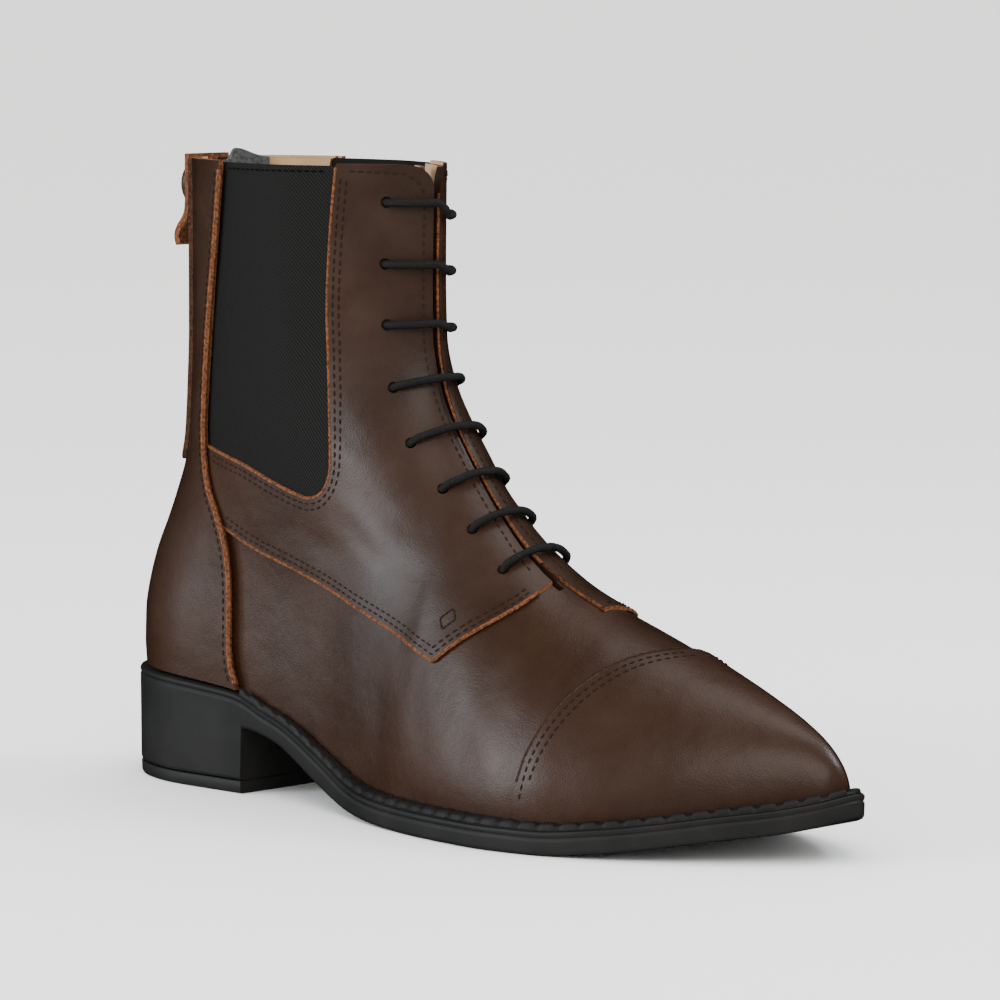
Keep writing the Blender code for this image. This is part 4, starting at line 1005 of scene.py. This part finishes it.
def quarter_rows(side):
    """Seam rows of one quarter: lower edge, facing, collar and round the elastic panel."""
    rows = []
    top = QUARTER + 0.0001
    lower = lower_edge(side, -1)
    gore = below(rounded(side_outline(GORE)), 0.985)
    low = gore[:, 1] < 0.56 * BOOT_HEIGHT
    gore = gore[int(np.argmin(np.where(low, np.abs(gore[:, 0] - 0.165 * SOLE_LENGTH), 1))):]
    for shift in (ROW_NEAR, ROW_FAR):
        rows.append(side_seam(offset_line(lower, shift), side, top))
        rows.append(side_seam(offset_line(gore, -shift), side, top))
    z = np.linspace(0.39, 0.955, 120) * BOOT_HEIGHT
    slit = slit_aside(z) - ridge_aside(front_at(z))
    wanted = np.maximum(SLIT / 2 + 0.0026 + side * slit, 0.0012)
    step = np.linspace(0, 0.02, 240)
    x = [front_at(here) - np.interp(w, breadth(front_at(here) - step, np.full_like(step, here), side), step)
         for here, w in zip(z, wanted)]
    facing = np.column_stack([x, z])
    hem = BOOT_HEIGHT - 0.0022
    bend = [(facing[-1, 0] - 0.0012, hem - 0.0030), (facing[-1, 0] - 0.0040, hem - 0.0006)]
    end = (0.366 * SOLE_LENGTH, hem)
    rows.append(side_seam(np.concatenate([facing, bend, [end]]), side, top))
    return rows


def tack_rows(side):
    """Small stitched box at the corner of the quarter."""
    table = QUARTER_LATERAL if side < 0 else QUARTER_MEDIAL
    corner = min(side_outline(table[3:]), key=lambda p: p[1])
    x, z = corner[0] + 0.0005, corner[1] + 0.0092
    box = [(x, z), (x + 0.0034, z + 0.0031), (x + 0.0013, z + 0.0061), (x - 0.0021, z + 0.0030), (x, z)]
    return [side_seam(box, side, QUARTER + 0.0001, 0.0017)]


def stay_rows(side):
    height = QUARTER + GAP + STAY_THICKNESS + 0.0001
    return [side_seam(offset_line(stay_edge(0.985), -STAY_ROW), side, height)]


def gore_hem(side):
    z = BOOT_HEIGHT - 0.0024
    line = [(0.200 * SOLE_LENGTH, z), (0.342 * SOLE_LENGTH, z)]
    return [side_seam(line, side, 0.0008, 0.0024)]


def node_material(name, color, roughness, specular=0.5):
    material = bpy.data.materials.new(name)
    material.use_nodes = True
    tree = material.node_tree
    shader = tree.nodes["Principled BSDF"]
    shader.inputs["Base Color"].default_value = (*color, 1)
    shader.inputs["Roughness"].default_value = roughness
    shader.inputs["Specular IOR Level"].default_value = specular
    return material, tree, shader


def tinted(color, share):
    return tuple(share * c for c in color)


def noise(tree, scale, detail=4.0, rough=0.55):
    place = tree.nodes.new("ShaderNodeTexCoord")
    texture = tree.nodes.new("ShaderNodeTexNoise")
    texture.inputs["Scale"].default_value = scale
    texture.inputs["Detail"].default_value = detail
    texture.inputs["Roughness"].default_value = rough
    tree.links.new(place.outputs["Object"], texture.inputs["Vector"])
    return texture.outputs["Fac"]


def cells(tree, scale):
    place = tree.nodes.new("ShaderNodeTexCoord")
    texture = tree.nodes.new("ShaderNodeTexVoronoi")
    texture.feature = "DISTANCE_TO_EDGE"
    texture.inputs["Scale"].default_value = scale
    tree.links.new(place.outputs["Object"], texture.inputs["Vector"])
    return texture.outputs["Distance"]


def paint(tree, shader, factor, low, dark, high, light):
    """Colour that runs from dark to light as a value goes from low to high."""
    ramp = tree.nodes.new("ShaderNodeValToRGB")
    for element, (at, color) in zip(ramp.color_ramp.elements, ((low, dark), (high, light))):
        element.position = at
        element.color = (*color, 1)
    tree.links.new(factor, ramp.inputs["Fac"])
    tree.links.new(ramp.outputs["Color"], shader.inputs["Base Color"])


def vary_roughness(tree, shader, value, low, high):
    node = tree.nodes.new("ShaderNodeMapRange")
    node.inputs["To Min"].default_value = low
    node.inputs["To Max"].default_value = high
    tree.links.new(value, node.inputs["Value"])
    tree.links.new(node.outputs["Result"], shader.inputs["Roughness"])


def bump(tree, shader, *layers):
    """Adds heights one after another: value, strength, distance."""
    normal = None
    for value, strength, distance in layers:
        node = tree.nodes.new("ShaderNodeBump")
        node.inputs["Strength"].default_value = strength
        node.inputs["Distance"].default_value = distance
        tree.links.new(value, node.inputs["Height"])
        if normal is not None:
            tree.links.new(normal, node.inputs["Normal"])
        normal = node.outputs["Normal"]
    tree.links.new(normal, shader.inputs["Normal"])


def leather(name, dark, light, roughness):
    """Waxed leather: fine grain, faint wrinkles, a soft swell, uneven tone and shine."""
    material, tree, shader = node_material(name, light, roughness, 0.30)
    paint(tree, shader, noise(tree, 21, 5, 0.6), 0.34, dark, 0.68, light)
    vary_roughness(tree, shader, noise(tree, 42, 4), roughness - 0.12, roughness + 0.14)
    shader.inputs["Coat Weight"].default_value = 0.14
    shader.inputs["Coat Roughness"].default_value = 0.32
    bump(tree, shader, (cells(tree, 1150), 0.60, 0.00010), (noise(tree, 1700, 3), 0.42, 0.00008),
         (noise(tree, 85, 3, 0.5), 0.38, 0.0010), (noise(tree, 30, 2), 0.36, 0.0024))
    return material


def raw_edge(name, tone):
    """Fibres of a cut edge."""
    material, tree, shader = node_material(name, tinted(EDGE_LIGHT, tone), 0.9, 0.15)
    paint(tree, shader, noise(tree, 1000, 4), 0.35, tinted(EDGE_DARK, tone), 0.65, tinted(EDGE_LIGHT, tone))
    bump(tree, shader, (noise(tree, 1300, 4), 0.9, 0.0004))
    return material


def lining():
    material, tree, shader = node_material("lining_leather", (0.44, 0.28, 0.145), 0.72)
    paint(tree, shader, noise(tree, 60, 4), 0.3, (0.33, 0.20, 0.095), 0.7, (0.50, 0.32, 0.165))
    bump(tree, shader, (noise(tree, 1400, 3), 0.4, 0.0001))
    return material


def rubber(name, color, roughness):
    material, tree, shader = node_material(name, color, roughness, 0.24)
    paint(tree, shader, noise(tree, 45, 4), 0.3, tinted(color, 0.8), 0.7, tinted(color, 1.25))
    vary_roughness(tree, shader, noise(tree, 120, 4), roughness - 0.07, roughness + 0.1)
    bump(tree, shader, (noise(tree, 1800, 3), 0.35, 0.00008), (noise(tree, 160, 3), 0.15, 0.0003))
    return material


def wave_of(tree, direction, pitch):
    """A sine wave across the object in one direction."""
    place = tree.nodes.new("ShaderNodeTexCoord")
    dot = tree.nodes.new("ShaderNodeVectorMath")
    dot.operation = "DOT_PRODUCT"
    dot.inputs[1].default_value = [2 * np.pi * share / pitch for share in direction]
    wave = tree.nodes.new("ShaderNodeMath")
    wave.operation = "SINE"
    tree.links.new(place.outputs["Object"], dot.inputs[0])
    tree.links.new(dot.outputs["Value"], wave.inputs[0])
    return wave.outputs[0]


def elastic():
    """Woven elastic: fine diagonal twill over upright ribs."""
    dark, light = (0.0024, 0.0023, 0.0020), (0.0105, 0.0099, 0.0086)
    material, tree, shader = node_material("elastic_weave", light, 0.78, 0.18)
    twill, ribs = wave_of(tree, (1.0, 0.0, 0.85), TWILL_PITCH), wave_of(tree, (1.0, 0.0, -0.12), RIB_PITCH)
    bump(tree, shader, (twill, 0.5, 0.00007), (ribs, 0.3, 0.00004))
    half = tree.nodes.new("ShaderNodeMath")
    half.operation = "MULTIPLY_ADD"
    half.inputs[1].default_value = 0.5
    half.inputs[2].default_value = 0.5
    tree.links.new(twill, half.inputs[0])
    paint(tree, shader, half.outputs[0], 0.0, dark, 1.0, light)
    return material


def fabric(name, color, grain):
    material, tree, shader = node_material(name, color, 0.85, 0.25)
    paint(tree, shader, noise(tree, grain, 3), 0.3, tinted(color, 0.6), 0.7, tinted(color, 1.5))
    bump(tree, shader, (noise(tree, grain, 3), 0.5, 0.00015))
    return material


def metal(name, color):
    material, tree, shader = node_material(name, color, 0.38)
    shader.inputs["Metallic"].default_value = 1.0
    vary_roughness(tree, shader, noise(tree, 300, 3), 0.28, 0.5)
    return material


def thread(name, color):
    material, tree, shader = node_material(name, color, 0.85, 0.15)
    bump(tree, shader, (noise(tree, 3000, 2), 0.4, 0.0001))
    return material


def add_lights():
    target = Vector((0, 0, 0.09))
    for name, direction, distance, size, watts, color in LIGHTS:
        data = bpy.data.lights.new(name, "AREA")
        data.shape = "DISK"
        data.size = size
        data.energy = watts
        data.color = color
        light = bpy.data.objects.new(name, data)
        bpy.context.scene.collection.objects.link(light)
        light.location = target + Vector(direction).normalized() * distance
        light.rotation_euler = (target - light.location).to_track_quat("-Z", "Y").to_euler()
        light.visible_camera = False


def add_studio():
    """A pale floor under an even pale sky, with the boot's sheen left to the lights alone."""
    corners = [(FLOOR_REACH * x, FLOOR_REACH * y, 0) for x, y in ((-1, -1), (1, -1), (1, 1), (-1, 1))]
    floor = mesh_object("floor", corners, [(0, 1, 2, 3)])
    material, tree, shader = node_material("pale_floor", (0.86, 0.86, 0.86), 0.6)
    bump(tree, shader, (noise(tree, 30, 3), 0.02, 0.001))
    floor.data.materials.append(material)
    floor.visible_glossy = False
    world = bpy.data.worlds.new("studio")
    world.use_nodes = True
    sky = world.node_tree.nodes["Background"].inputs
    sky["Color"].default_value = (1.0, 0.995, 0.985, 1)
    sky["Strength"].default_value = SKY_STRENGTH
    bpy.context.scene.world = world
    world.cycles_visibility.glossy = False


def add_camera():
    """The photograph's point of view, brought nearer by its lens so that the one boot fills the frame."""
    data = bpy.data.cameras.new("camera")
    data.sensor_width = 36
    data.lens = LENS * ZOOM
    camera = bpy.data.objects.new("camera", data)
    camera.location = CAMERA_PLACE
    camera.rotation_euler = [radians(turn) for turn in CAMERA_TURN]
    bpy.context.scene.collection.objects.link(camera)
    bpy.context.scene.camera = camera


def settle(obj, shift):
    """Moves a piece from the boot's own measures to the part's frame and shades it smooth between its edges."""
    points = np.empty(len(obj.data.vertices) * 3)
    obj.data.vertices.foreach_get("co", points)
    obj.data.vertices.foreach_set("co", (points.reshape(-1, 3) - shift).ravel())
    obj.data.shade_smooth()
    obj.data.set_sharp_from_angle(angle=radians(38))
    obj.data.update()


def main():
    for obj in list(bpy.data.objects):
        bpy.data.objects.remove(obj, do_unlink=True)
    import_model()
    brown = leather("brown_leather", LEATHER_DARK, LEATHER_LIGHT, 0.40)
    vamp_brown = leather("vamp_leather", LEATHER_DARK, LEATHER_LIGHT, 0.38)
    cap_brown = leather("cap_leather", tinted(LEATHER_DARK, 0.945), tinted(LEATHER_LIGHT, 0.94), 0.36)
    tan, edge, dark_edge = lining(), raw_edge("raw_edge", 1.0), raw_edge("dark_edge", 0.35)
    turned = leather("turned_edge", tinted(LEATHER_DARK, 0.79), tinted(LEATHER_LIGHT, 0.77), 0.50)
    panel, vamp_panel = [brown, tan, edge, turned], [vamp_brown, tan, edge, turned]
    cap_panel = [cap_brown, tan, edge, turned]
    black = rubber("black_rubber", (0.0118, 0.0114, 0.0106), 0.55)
    rand = rubber("rand_rubber", (0.0090, 0.0085, 0.0077), 0.56)
    weave, cord = elastic(), fabric("lace_fabric", (0.0062, 0.0058, 0.0052), 2600)
    tape = fabric("zip_tape_fabric", (0.0070, 0.0065, 0.0062), 1800)
    brass = metal("old_brass", (0.34, 0.23, 0.10))
    brown_thread = thread("brown_thread", (0.0170, 0.0078, 0.0042))
    felt = fabric("grey_felt", (0.050, 0.050, 0.052), 900)
    black_thread = thread("black_thread", (0.0012, 0.0012, 0.0012))

    base = surface()
    rows, inner_edges, stay_edges = cap_rows(), [], []
    for side in (-1, 1):
        rows += quarter_rows(side) + tack_rows(side) + stay_rows(side)
        inner_edges += panel_lines(side)
        stay_edges += stay_lines(side)
    pieces = (
        (make_outsole([black]), "rubber", ("outsole",)),
        (make_top_piece([black]), "rubber", ("top_piece",)),
        (make_rand([rand]), "rubber", ("welt",)),
        (make_insole([tan]), "lining", ("insole",)),
        (make_vamp(base, vamp_panel), "leather", ("upper",)),
        (make_quarter(base, -1, panel), "leather", ("upper",)),
        (make_quarter(base, 1, panel), "leather", ("upper",)),
        (make_tongue(base, panel), "leather", ("tongue",)),
        (make_gore(base, -1, [weave, weave, weave]), "elastic", ("gore_lateral",)),
        (make_gore(base, 1, [weave, weave, weave]), "elastic", ("gore_medial",)),
        (make_toe_cap(base, cap_panel), "leather", ("toe_cap",)),
        (make_backstay(base, panel), "leather", ("backstay",)),
        (make_zip([tape, tape, tape]), "zip", ("zip",)),
        (make_teeth([tape]), "zip", ()),
        (make_zip_facing([brown, dark_edge, dark_edge]), "leather", ("zip_facing",)),
        (make_snap_tab([brown, edge, edge]), "leather", ("snap_tab",)),
        (make_guard(base, [felt, felt, felt]), "felt", ("zip_guard",)),
        (bead("cap_edge", cap_edge(), CAP_BEAD, [cap_brown]), "leather", ()),
        (bead("panel_edges", inner_edges, PANEL_BEAD, [edge]), "leather", ()),
        (bead("stay_edges", stay_edges, STAY_BEAD, [edge]), "leather", ()),
        (make_snap_cap([brown]), "leather", ("snap_cap",)),
        (make_cord("cord", lace_path(), LACE_RADIUS, [cord]), "cord", ("lace",)),
        (thread_mesh("stitches", rows, [brown_thread]), "leather", ()),
        (thread_mesh("elastic_stitches", gore_hem(-1) + gore_hem(1), [black_thread]), "elastic", ()),
    )
    outline = sole_outline(0.0)
    shift = np.array([(outline[:, k].min() + outline[:, k].max()) / 2 for k in (0, 1)] + [0.0])
    for obj, slot, nodes in pieces:
        settle(obj, shift)
        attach(obj, "root")
        if nodes:
            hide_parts(*nodes)
    slider = bpy.data.objects["zip_slider"]
    slider.data.materials.clear()
    slider.data.materials.append(brass)
    add_studio()
    add_lights()
    add_camera()


main()
